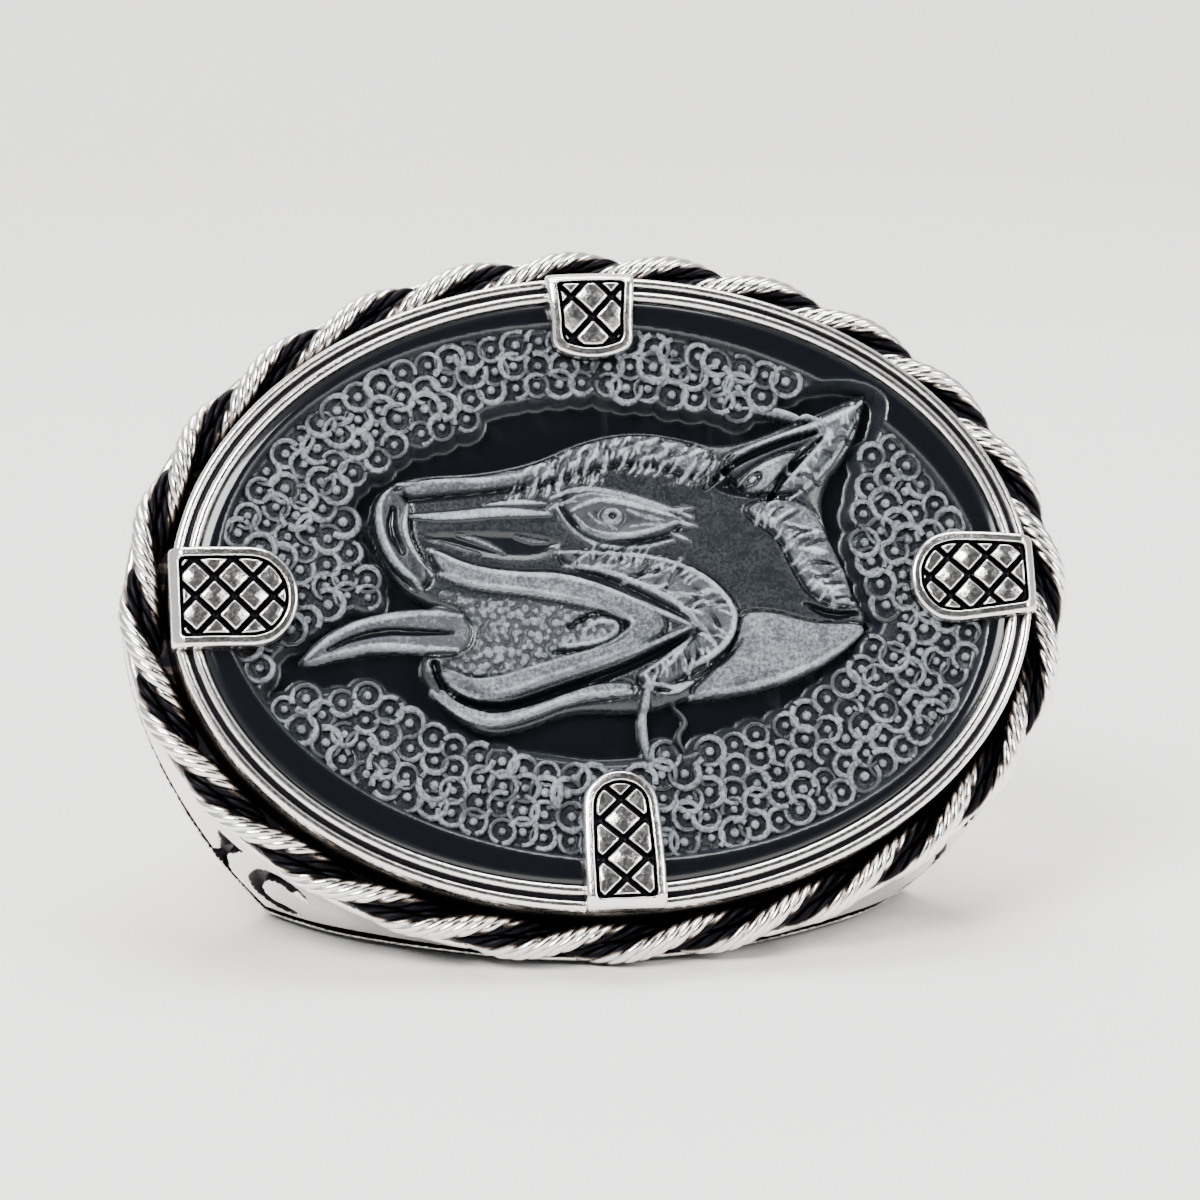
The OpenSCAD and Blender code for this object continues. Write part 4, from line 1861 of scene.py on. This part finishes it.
# The forms come first, then the cuts of mouth, muzzle, eye and ear, and the coat last
CARVING: tuple[Form | Hollow | Pebbles | Stroke | Tufts, ...] = (
    Form(HEAD, 0.78, 0.17, 0.9),
    Form(TONGUE, 0.806, 0.45),
    Form(BROW, 1.3, 0.5),
    Form(NOSE, 1.235, 0.22),
    Form(LIDS, 1.105, 0.4),
    Form(LIPS, 1.105, 0.55, 0.35),
    Form(JAW, 0.975, 0.6, 0.3),
    Form(CHEEK, 1.17, 0.45),
    Form(THROAT, 1.04, 0.56, 0.9),
    Form(RUFF, 1.105, 0.5),
    Form(EAR, 1.235, 0.5),
    # Mouth, lips, jaw and tongue
    Hollow(MOUTH, 0.14, 0.24),
    Pebbles(MOUTH, 0.33, 0.15, 0.62),
    Stroke(((-1.4, -1.3), (-0.4, -0.75), (0.65, -1.0), (0.7, -1.7), (-0.6, -2.2), (-2.0, -2.25)),
           0.24, -0.2, 0.02, 0.3),
    Stroke(((-0.9, -1.45), (-0.3, -1.1), (0.35, -1.2), (0.35, -1.6), (-0.5, -1.95), (-1.6, -2.0)),
           0.2, 0.1, 0.85, 0.3),
    Stroke(((-6.3, 1.65), (-4.9, 0.9), (-3.0, 0.6), (-1.5, 0.55), (0.4, -0.1), (3.1, -1.4)),
           0.3, 0.13, 0.88, 0.4),
    Stroke(((3.1, -1.45), (0.8, -2.35), (-2.3, -3.25), (-4.5, -3.95), (-5.6, -3.55), (-6.1, -2.9)),
           0.3, 0.13, 0.72, 0.4),
    Stroke(((-6.0, 0.8), (-4.8, 0.25), (-3.0, 0.05), (-1.2, -0.35), (0.3, -0.75), (0.95, -1.3)),
           0.22, 0.1, 0.85, 0.3),
    Stroke(((0.95, -1.35), (0.1, -2.0), (-2.3, -2.65), (-4.8, -3.35), (-5.9, -2.8)),
           0.22, 0.1, 0.7, 0.3),
    Stroke(CHIN, 0.42, -0.45, 0.0, 0.4),
    Stroke(((-6.5, -3.5), (-5.5, -4.45), (-4.4, -4.85), (-3.0, -4.5), (-1.5, -3.95), (0.7, -3.8)),
           0.3, 0.1, 0.88, 0.4),
    Stroke(((-5.3, -0.8), (-6.6, -0.6), (-8.6, -0.8), (-10.0, -1.35), (-11.0, -2.2)), 0.28, 0.1, 0.8, 0.5),
    Stroke(((-5.5, -2.05), (-6.9, -1.95), (-8.3, -1.8), (-9.6, -2.0), (-11.0, -2.35)), 0.28, 0.12, 0.88, 0.5),
    Stroke(((-5.6, -1.4), (-6.8, -1.35), (-8.0, -1.25), (-9.2, -1.45), (-10.2, -1.9)), 0.34, -0.25, 0.02),
    # Nose with its nostril, and the dark hollow under the bridge
    Hollow(BRIDGE_HOLLOW, 0.14, 0.06),
    Stroke(((-5.3, 2.2), (-4.4, 1.95), (-3.6, 1.5)), 0.24, 0.12, 0.6),
    Stroke(((-6.0, 2.0), (-5.2, 1.7), (-4.5, 1.5)), 0.18, 0.08, 0.5),
    Stroke(((-3.2, 2.1), (-2.6, 1.9), (-2.0, 1.85)), 0.18, 0.08, 0.5),
    Stroke(((-7.0, 2.95), (-5.4, 2.9), (-3.8, 3.05), (-1.9, 2.9)), 0.42, 0.16, 0.85),
    Stroke(((-4.2, 3.3), (-3.0, 3.4), (-2.0, 3.3)), 0.2, 0.1, 0.95),
    Stroke(((-7.6, 4.05), (-8.15, 3.4), (-8.15, 2.4), (-7.7, 1.2), (-6.7, 0.25)), 0.26, 0.12, 0.85, 0.4),
    Stroke(((-7.05, 3.4), (-7.3, 2.4), (-6.9, 1.4), (-6.3, 0.75)), 0.22, 0.12, 0.9, 0.4),
    Stroke(((-7.62, 3.2), (-7.75, 2.4), (-7.35, 1.5)), 0.4, -0.28, 0.03, 0.5),
    Stroke(((-7.4, 4.2), (-5.8, 4.2), (-4.2, 4.1), (-2.8, 4.3)), 0.24, 0.06, 0.8, 0.5),
    # Eye: doubled lids, the dark corners beside it, and a round iris
    Hollow(EYE_HOLLOW, 0.14, 0.22),
    Stroke(((-1.8, 3.5), (-0.8, 3.85), (0.3, 3.7), (1.6, 3.3), (3.3, 2.65)), 0.28, 0.12, 0.85, 0.4),
    Stroke(((-1.5, 3.2), (-0.6, 3.6), (0.4, 3.46), (1.7, 3.05), (3.0, 2.75)), 0.16, 0.07, 0.7, 0.4),
    Stroke(((-1.1, 2.95), (-0.2, 3.35), (0.8, 3.2), (1.9, 2.85), (2.9, 2.6)), 0.22, 0.12, 0.9, 0.4),
    Stroke(((-1.0, 2.75), (-0.5, 2.15), (0.6, 1.9), (1.8, 2.1), (3.0, 2.5)), 0.24, 0.12, 0.85, 0.4),
    Stroke(((-1.6, 3.1), (-1.1, 2.2), (-0.1, 1.6), (1.3, 1.5), (2.6, 1.8)), 0.22, 0.11, 0.75, 0.4),
    Stroke(((2.6, 2.9), (3.4, 3.0)), 0.2, 0.12, 0.8),
    Stroke(((2.8, 2.45), (3.5, 2.3)), 0.2, 0.12, 0.8),
    Stroke(((2.5, 2.1), (3.2, 1.75)), 0.2, 0.12, 0.8),
    Stroke(((-2.0, 3.0), (-1.5, 3.3), (-0.9, 3.25)), 0.2, 0.1, 0.75),
    Stroke(((-0.5, 2.85), (-0.1, 2.45), (0.5, 2.2)), 0.16, 0.08, 0.7, 0.3),
    Stroke(((0.9, 2.95), (1.4, 2.7), (1.9, 2.65)), 0.16, 0.08, 0.7, 0.3),
    Stroke(((1.0, 2.3), (1.6, 2.35), (2.2, 2.35)), 0.16, 0.08, 0.7, 0.3),
    Stroke(((0.3, 2.68), (0.44, 2.68)), 0.76, 0.22, 0.68, 0.0),
    Stroke(((0.33, 2.7), (0.41, 2.7)), 0.24, -0.2, 0.05, 0.0),
    Stroke(((1.5, 2.6), (2.3, 2.5)), 0.2, 0.1, 0.75),
    # Ear: two blades that meet at its tip, and a leaf with a ring between them
    Hollow(EAR_HOLLOW, 0.45, 0.03),
    Form(LEAF, 1.05, 0.6, 0.3, 0.05),
    Stroke(((3.9, 3.75), (5.0, 4.6), (6.7, 5.3), (8.1, 5.65)), 0.34, -0.5, 0.0, 0.5),
    Stroke(((6.3, 3.3), (7.2, 4.45), (8.3, 5.4)), 0.34, -0.5, 0.0, 0.5),
    Stroke(((5.2, 3.85), (5.9, 4.4), (7.1, 4.85)), 0.2, 0.08, 0.9, 0.4),
    Stroke(((5.45, 3.8), (5.85, 4.1)), 0.52, -0.2, 0.08, 0.2),
    Stroke(((5.58, 3.9), (5.74, 4.02)), 0.24, 0.22, 0.9, 0.2),
    Stroke(((5.1, 5.0), (6.6, 5.6), (8.2, 5.95), (9.5, 6.45), (10.0, 6.9)), 0.26, 0.1, 0.95, 0.4),
    Stroke(((9.7, 6.2), (9.0, 5.0), (8.0, 3.9), (7.0, 3.2)), 0.2, 0.1, 0.9, 0.4),
    Stroke(((8.6, 5.6), (7.6, 4.5), (6.8, 3.7)), 0.2, 0.1, 0.9, 0.4),
    Stroke(((5.2, 6.75), (6.6, 6.7), (8.2, 6.1)), 0.42, 0.85, 0.9),
    # Coat: hairs along brow, cheek, ruff and ear, and the drips under the chin
    Tufts(BROW_TOP, 0.3, 0.5, 40, 0.19, 0.09, 0.95),
    Tufts(BROW_TOP, 0.37, 0.45, 52, 0.12, -0.13, 0.15),
    Tufts(BROW_MID, 0.3, 0.5, 48, 0.19, 0.09, 0.95),
    Tufts(BROW_MID, 0.37, 0.45, 60, 0.12, -0.13, 0.15),
    Tufts(BROW_LOW, 0.3, 0.5, 60, 0.19, 0.09, 0.95),
    Tufts(BROW_LOW, 0.37, 0.45, 72, 0.12, -0.13, 0.15),
    Tufts(CHEEK_IN, 0.3, 0.95, 62, 0.12, -0.13, 0.2),
    Tufts(CHEEK_IN, 0.34, 0.8, 45, 0.14, 0.06, 0.85),
    Tufts(CHEEK_MID, 0.3, 0.75, 55, 0.13, -0.12, 0.15),
    Tufts(CHEEK_MID, 0.27, 0.6, 70, 0.14, 0.08, 0.85),
    Stroke(CHEEK_OUT, 0.28, 0.12, 0.88, 0.3),
    Stroke(CHEEK_IN, 0.2, 0.1, 0.9, 0.3),
    Tufts(RUFF_MID, 0.27, 0.75, 50, 0.17, 0.08, 0.95),
    Tufts(RUFF_MID, 0.33, 0.75, 62, 0.13, -0.15, 0.15),
    Tufts(RUFF_MID, 0.3, 0.4, -70, 0.14, 0.06, 0.85),
    Tufts(EAR_BLADE, 0.3, 0.45, 60, 0.16, 0.07, 0.9),
    Tufts(EAR_BLADE, 0.36, 0.45, -50, 0.13, -0.13, 0.2),
    Stroke(((7.3, -0.7), (8.3, -1.2), (9.3, -1.1)), 0.34, -0.3, 0.02),
    Stroke(((4.9, -2.0), (4.2, -2.8), (3.1, -3.3)), 0.2, -0.2, 0.1),
    Stroke(((9.6, -1.6), (8.6, -2.4), (7.0, -3.25), (4.9, -3.8), (2.9, -4.0)), 0.24, 0.06, 0.85, 0.4),
    Stroke(((1.25, -3.9), (1.05, -5.2), (1.4, -6.6)), 0.42, 0.62, 0.75, 0.3),
    Stroke(((2.3, -4.3), (2.8, -4.9), (2.3, -5.4), (2.7, -6.2)), 0.3, 0.4, 0.35, 0.3),
    Stroke(((1.2, -3.6), (2.2, -3.8), (3.0, -3.5)), 0.42, 0.14, 0.95),
    Stroke(((1.6, -3.72), (2.1, -3.78)), 0.2, -0.2, 0.1, 0.2),
)


@dataclass
class CarvedStone:
    """The oval agate: polished rim, ground full of small rings, and the wolf's head.

    Attributes:
        shop: What the makers share.
        ring_field: The oval that holds the ground of small rings.
        rows: Rows of rings, most of which the moat cuts short.
        row_pitch: Spacing of the rows.
        first_row: How far in the first row lies, in rows.
        ring_pitch: Spacing of rings along a row.
        ring_r: Radius of a ring's middle line.
        ring_wire: Radius of a ring's wire.
        core_r: Radius of the core that is left standing in a ring.
        jitter: How far a ring may stand from its place in the row.
        tilt_deg: How far a ring may lean.
        growth: Smallest and largest scale of a ring.
        overhang: How near a ring's middle may come to the moat's edge, negative past it.
        arcs_deg: How much of each kind of ring was cut.
        seed: Seed for the rings' unevenness.
        field_tone: Tone of the ground between the rings.
        edge_tone: Tone of the field's edge.
        wall_tone: Tone of the moat's wall.
        wall: Where the moat's wall starts and ends, out from its outline.
        ring_room: Width of the wall round a ring that stands at the moat.
        frost_out: How far out the wall's frost, the wall and the end of the frost lie.
        ring_shaded_tone: Tone of a ring at its foot and at its crest: darker low down, as painted shade where
            it meets the ground, and paler at the crest, as painted light.
        map_step: Spacing of the points that the stone's top is worked out at.
        map_room: How far they reach past the stone.
        head_step: Spacing of such points on the head.
        rim_w: Width over which the rim falls away towards the stone's edge.
        rim_fall: How far it falls.
        rim_round: Width over which its edge is rounded.
        foot_round: Width over which the stone's lower edge is rounded.
        steepness: How near a height over the stone comes to the distance from its slopes.
    """

    shop: Workshop
    ring_field: Oval = Oval(14.0, 9.9, -5.0)
    rows: int = 9
    row_pitch: float = 0.8
    first_row: float = 0.7
    ring_pitch: float = 0.86
    ring_r: float = 0.5
    ring_wire: float = 0.115
    core_r: float = 0.17
    jitter: float = 0.12
    tilt_deg: float = 12.0
    growth: Point = (0.88, 1.16)
    overhang: float = -0.1
    arcs_deg: tuple[float, ...] = (352.0, 338.0, 300.0, 250.0)
    seed: int = 7
    field_tone: float = 0.16
    edge_tone: float = 0.24
    wall_tone: float = 0.32
    wall: Point = (0.05, -0.2)
    ring_room: float = 0.22
    frost_out: Point3 = (0.15, 0.0, -0.19)
    ring_shaded_tone: Point = (0.1, 0.64)
    map_step: float = 0.1
    map_room: float = 0.2
    head_step: float = 0.05
    rim_w: float = 0.5
    rim_fall: float = 0.12
    rim_round: float = 0.14
    foot_round: float = 0.1
    steepness: float = 0.8

    def places(self) -> Array:
        """Works out where the small rings stand, in rows that follow the field's edge.

        Returns:
            Their places along and across the stone, one a row.
        """
        s = self.shop.sizes
        moat = ReliefMap((-s.stone_a, -s.stone_b), (s.stone_a, s.stone_b), self.map_step)
        clear = np.full(moat.height.shape, 9.0)
        box, away = moat.outline(MOAT, margin=1.0)
        clear[box] = away
        chance = np.random.default_rng(self.seed)
        spots = []
        for row in range(self.rows):
            inset = (row + self.first_row) * self.row_pitch
            line = Oval(self.ring_field.a - inset, self.ring_field.b - inset, self.ring_field.turn_deg)
            count = int(math.pi * (line.a + line.b) / self.ring_pitch)
            lop = (line.a - line.b) / (line.a + line.b) / 2
            for i in range(count):
                t = math.tau * (i + row % 2 / 2) / count
                spot = line.place(t + lop * math.sin(2 * t)) + chance.uniform(-self.jitter, self.jitter, 2)
                if moat.at(clear, *spot[:, None])[0] > self.overhang:
                    spots.append(spot)
        return np.array(spots)

    def cut_map(self) -> ReliefMap:
        """Works out the stone's top without the head: rim, sunk field, and moat round the rings.

        Returns:
            The top's height and tone.
        """
        s = self.shop.sizes
        a, b = s.stone_a + self.map_room, s.stone_b + self.map_room
        cut = ReliefMap((-a, -b), (a, b), self.map_step)
        inward = self.ring_field.distance(cut.u, cut.v)
        lowered = step_up(inward, 0.08, -0.12)
        cut.height += s.rim_n - (s.rim_n - s.field_n) * lowered
        edge = step_up(inward, 0.22, 0.02) - step_up(inward, -0.06, -0.26)
        cut.tone += np.maximum(self.field_tone * lowered, self.edge_tone * edge)
        box, away = cut.outline(MOAT, margin=0.8)
        around = np.full(away.shape, 9.0)
        for u, v in self.places():
            around = np.minimum(around, np.hypot(cut.u[box[0]] - u, cut.v[:, box[1]] - v))
        outer, sunk, inner = (
            step_up(away, self.wall[0] + out, self.wall[1] + out)
            * step_up(around - self.ring_r, -out, self.ring_room - out)
            for out in self.frost_out
        )
        cut.height[box] -= (cut.height[box] - s.moat_n) * sunk
        cut.tone[box] = np.maximum(cut.tone[box] * (1 - sunk), self.wall_tone * (outer - inner))
        return cut

    def ground(self) -> Piece:
        """Meshes the stone itself, with its sunk field and the floor cut round the head.

        Returns:
            The piece.
        """
        s = self.shop.sizes
        cut = self.cut_map()

        def rule(u: Array, v: Array, n: Array) -> Array:
            """Measures the distance to the stone's surface.

            Args:
                u: Places along the oval.
                v: Places towards the fingertip.
                n: Heights.

            Returns:
                The distance at each place, negative inside.
            """
            out = s.stone.distance(u, v)
            fall = self.rim_fall * step_up(out, -self.rim_w, 0.0)
            top = cut.at(cut.height, *np.broadcast_arrays(u, v)) - fall
            stone = smooth_max(out, (n - top) * self.steepness, self.rim_round)
            return smooth_max(stone, s.seat_n + s.gap - n, self.foot_round)

        low = (-s.stone_a - 0.3, -s.stone_b - 0.3, s.seat_n - 0.2)
        high = (s.stone_a + 0.3, s.stone_b + 0.3, s.rim_n + 0.3)
        piece = Mesher(low, high, step=0.11, triangles=110_000).build("agate_ground", rule, settle=False)
        u, v, n = mesh_points(piece.data).T
        paint(piece.data, "tone", cut.at(cut.tone, u, v) * step_up(n, s.moat_n - 0.5, s.moat_n - 0.1))
        return self.shop.finish(piece, Slot.STONE)

    def wolf(self) -> Piece:
        """Meshes the wolf's head from its map.

        Returns:
            The piece.
        """
        s = self.shop.sizes
        head = ReliefMap((-12.8, -7.0), (11.0, 8.0), self.head_step)
        for step in CARVING:
            step.carve(head)
        foot = s.moat_n - 0.15

        def rule(u: Array, v: Array, n: Array) -> Array:
            """Measures the distance to the head's surface.

            Args:
                u: Places along the oval.
                v: Places towards the fingertip.
                n: Heights.

            Returns:
                The distance at each place, negative inside.
            """
            top = head.at(head.height, *np.broadcast_arrays(u, v))
            sunk = step_up(top, 0.16, 0.04) * 0.3
            return smooth_max((n - s.moat_n - top + sunk) * 0.6, foot - n, 0.03)

        low = (-12.6, -6.9, foot - 0.2)
        high = (10.8, 7.8, s.moat_n + s.relief_h + 0.3)
        mesher = Mesher(low, high, step=0.065, triangles=185_000)
        piece = mesher.build("wolf_head", rule, settle=False)
        u, v, _ = mesh_points(piece.data).T
        paint(piece.data, "tone", head.at(head.tone, u, v))
        return self.shop.finish(piece, Slot.STONE)

    def tree(self) -> Nodes:
        """Builds the tree that sets a ring and its core on each point of the piece's own mesh.

        Returns:
            The tree.
        """
        kinds = {name: "Float" for name in ("Radius", "Wire", "Core")}
        tree, out = new_tree("ring_ground", kinds | {"Seed": "Int"})
        wire = circle(tree, 5, out["Wire"])
        kept = add_node(tree, "GeometryNodeGeometryToInstance")
        for sweep_deg in self.arcs_deg:
            inputs = {"Resolution": 12, "Radius": out["Radius"], "Sweep Angle": math.radians(sweep_deg)}
            arc = add_node(tree, "GeometryNodeCurveArc", inputs)
            tree.links.new(curve_mesh(tree, arc.outputs[0], wire, caps=True), kept.inputs[0])
        inputs = {"Segments": 8, "Rings": 5, "Radius": out["Core"]}
        core = add_node(tree, "GeometryNodeMeshUVSphere", inputs)
        tilt = math.radians(self.tilt_deg)
        lean = ((-tilt, -tilt, 0.0), (tilt, tilt, math.tau))
        inputs = {
            "Points": out["Geometry"],
            "Instance Index": random_value(tree, "INT", 0, len(self.arcs_deg) - 1, out["Seed"]),
            "Rotation": random_value(tree, "FLOAT_VECTOR", *lean, out["Seed"]),
            "Scale": random_value(tree, "FLOAT", *self.growth, out["Seed"]),
        }
        both = add_node(tree, "GeometryNodeJoinGeometry")
        for shape in (kept, core):
            each = {"Instance": shape.outputs[0], "Pick Instance": shape is kept}
            copies = add_node(tree, "GeometryNodeInstanceOnPoints", inputs | each)
            tree.links.new(copies.outputs[0], both.inputs[0])
        end_tree(tree, both.outputs[0], out["Material"])
        return tree

    def rings(self) -> Piece:
        """Sets the small rings on their ground.

        Returns:
            The piece.
        """
        s = self.shop.sizes
        mesh = bpy.data.meshes.new("ring_ground")
        height = s.field_n + self.ring_wire - 0.02
        mesh.from_pydata([(u * MM, v * MM, height * MM) for u, v in self.places()], [], [])
        piece = link("ring_ground", mesh)
        values = {
            "Radius": self.ring_r * MM,
            "Wire": self.ring_wire * MM,
            "Core": self.core_r * MM,
            "Seed": self.seed,
            "Material": self.shop.agate,
        }
        grow(piece, self.tree(), values)
        rise = mesh_points(piece.data)[:, 2] / MM - s.field_n
        dark, pale = self.ring_shaded_tone
        # Painted shade and light: each ring is darker low down, where it meets the ground, and paler at its
        # crest
        paint(piece.data, "tone", dark + (pale - dark) * step_up(rise, 0.04, 0.2))
        return self.shop.finish(piece, Slot.STONE, in_mm=False)


@dataclass(frozen=True)
class Lamp:
    """One square soft light: its place, side and target in metres, and its power in watts."""

    name: str
    place: Point3
    size: float
    power: float
    target: Point3 = (0.0, -0.005, 0.01)

    def hang(self) -> None:
        """Adds the light, which points at the ring."""
        data = bpy.data.lights.new(self.name, "AREA")
        data.size = self.size
        data.energy = self.power
        lamp = link(self.name, data)
        lamp.location = self.place
        aim = Vector(self.target) - Vector(self.place)
        lamp.rotation_euler = aim.to_track_quat("-Z", "Y").to_euler()


@dataclass(frozen=True)
class Studio:
    """The pale paper sweep, the soft lights and the camera.

    Attributes:
        frame: Where the head lies.
        lamps: The soft boxes.
        room: Colour of the lit room.
        card: Direction of the dark card in front of the ring.
        card_edge: How near that direction the card's shade starts, and where it is full.
        card_light: Share of the room's light that the card leaves.
        azimuth_deg: Where the camera stands round the ring, from straight in front.
        elevation_deg: How high it stands over the floor.
        lens_mm: Its focal length, long as in the photograph.
        share: Share of the picture's width that the ring takes.
        face_n: Height of the face that it looks at.
    """

    frame: HeadFrame
    lamps: tuple[Lamp, ...] = (
        Lamp("key_box", (-0.22, -0.3, 0.36), 0.22, 4.2),
        Lamp("fill_box", (0.34, -0.26, 0.2), 0.2, 1.8),
        Lamp("top_box", (0.02, 0.08, 0.42), 0.3, 2.8),
    )
    room: str = "#e4e6e9"
    card: Point3 = (0.11, -0.78, 0.62)
    card_edge: Point = (0.72, 0.9)
    card_light: float = 0.07
    azimuth_deg: float = -8.0
    elevation_deg: float = 12.0
    lens_mm: float = 135.0
    share: float = 0.8
    face_n: float = 13.0

    def sweep(self) -> None:
        """Makes the floor, which curves up behind into the backdrop."""
        bend, depth, height, half, front = 0.16, 0.24, 0.6, 1.2, -0.9
        turns = np.linspace(0, math.pi / 2, 25)
        corner = [(depth + bend * math.sin(a), bend * (1 - math.cos(a))) for a in turns]
        line = [(front, 0.0), *corner, (depth + bend, height)]
        points = [(x, y, z) for y, z in line for x in (-half, half)]
        faces = [(2 * i, 2 * i + 1, 2 * i + 3, 2 * i + 2) for i in range(len(line) - 1)]
        floor = link("paper_sweep", new_mesh("paper_sweep", np.array(points), np.array(faces)))
        floor.data.materials.append(MattePaper().material())
        floor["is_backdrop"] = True

    def lights(self) -> None:
        """Hangs the soft boxes, and lights the room with a dark card in front of the ring."""
        for lamp in self.lamps:
            lamp.hang()
        world = bpy.data.worlds.new("studio_room")
        world.use_nodes = True
        tree = world.node_tree
        tree.nodes.clear()
        toward = add_node(tree, "ShaderNodeTexCoord").outputs["Generated"]
        inputs = {0: toward, 1: self.card}
        near = add_node(tree, "ShaderNodeVectorMath", inputs, operation="DOT_PRODUCT").outputs["Value"]
        # The black card hangs where the flat of the stone would mirror the room
        light = map_range(tree, near, self.card_edge, (1.0, self.card_light), smooth=True)
        back = add_node(tree, "ShaderNodeBackground", {"Color": linear(self.room), "Strength": light})
        add_node(tree, "ShaderNodeOutputWorld", {"Surface": back.outputs[0]})
        bpy.context.scene.world = world

    def camera(self, low: Vector, high: Vector) -> None:
        """Sets the camera at the photograph's angle to the ring's face.

        Args:
            low: Lowest corner of the object.
            high: Highest corner.
        """
        data = bpy.data.cameras.new("camera")
        data.lens = self.lens_mm
        data.clip_start = 0.01
        camera = link("camera", data)
        a, e = math.radians(self.azimuth_deg), math.radians(self.elevation_deg)
        back = Vector((math.sin(a) * math.cos(e), -math.cos(a) * math.cos(e), math.sin(e)))
        face = self.frame.centre + self.frame.matrix.to_3x3().col[2] * self.face_n * MM
        away = (high.x - low.x) / self.share * self.lens_mm / data.sensor_width
        camera.location = face + back * away
        camera.rotation_euler = (-back).to_track_quat("-Z", "Y").to_euler()
        bpy.context.scene.camera = camera


def main() -> None:
    """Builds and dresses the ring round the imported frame."""
    logging.basicConfig(level=logging.INFO, format="%(name)s: %(message)s")
    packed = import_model()
    cad_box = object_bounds()
    frame = HeadFrame.from_record(packed["record"])
    shop = Workshop(HeadSizes(), frame, AntiquedSilver().material(), EngravedAgate().material())
    CastBody(shop).build()
    Bezel(shop).build()
    RopeBorder(shop).build()
    for claw in CLAWS:
        claw.build(shop)
    stone = CarvedStone(shop)
    stone.ground()
    stone.wolf()
    stone.rings()
    studio = Studio(frame)
    studio.sweep()
    studio.lights()
    studio.camera(*cad_box)


if __name__ == "__main__":
    main()
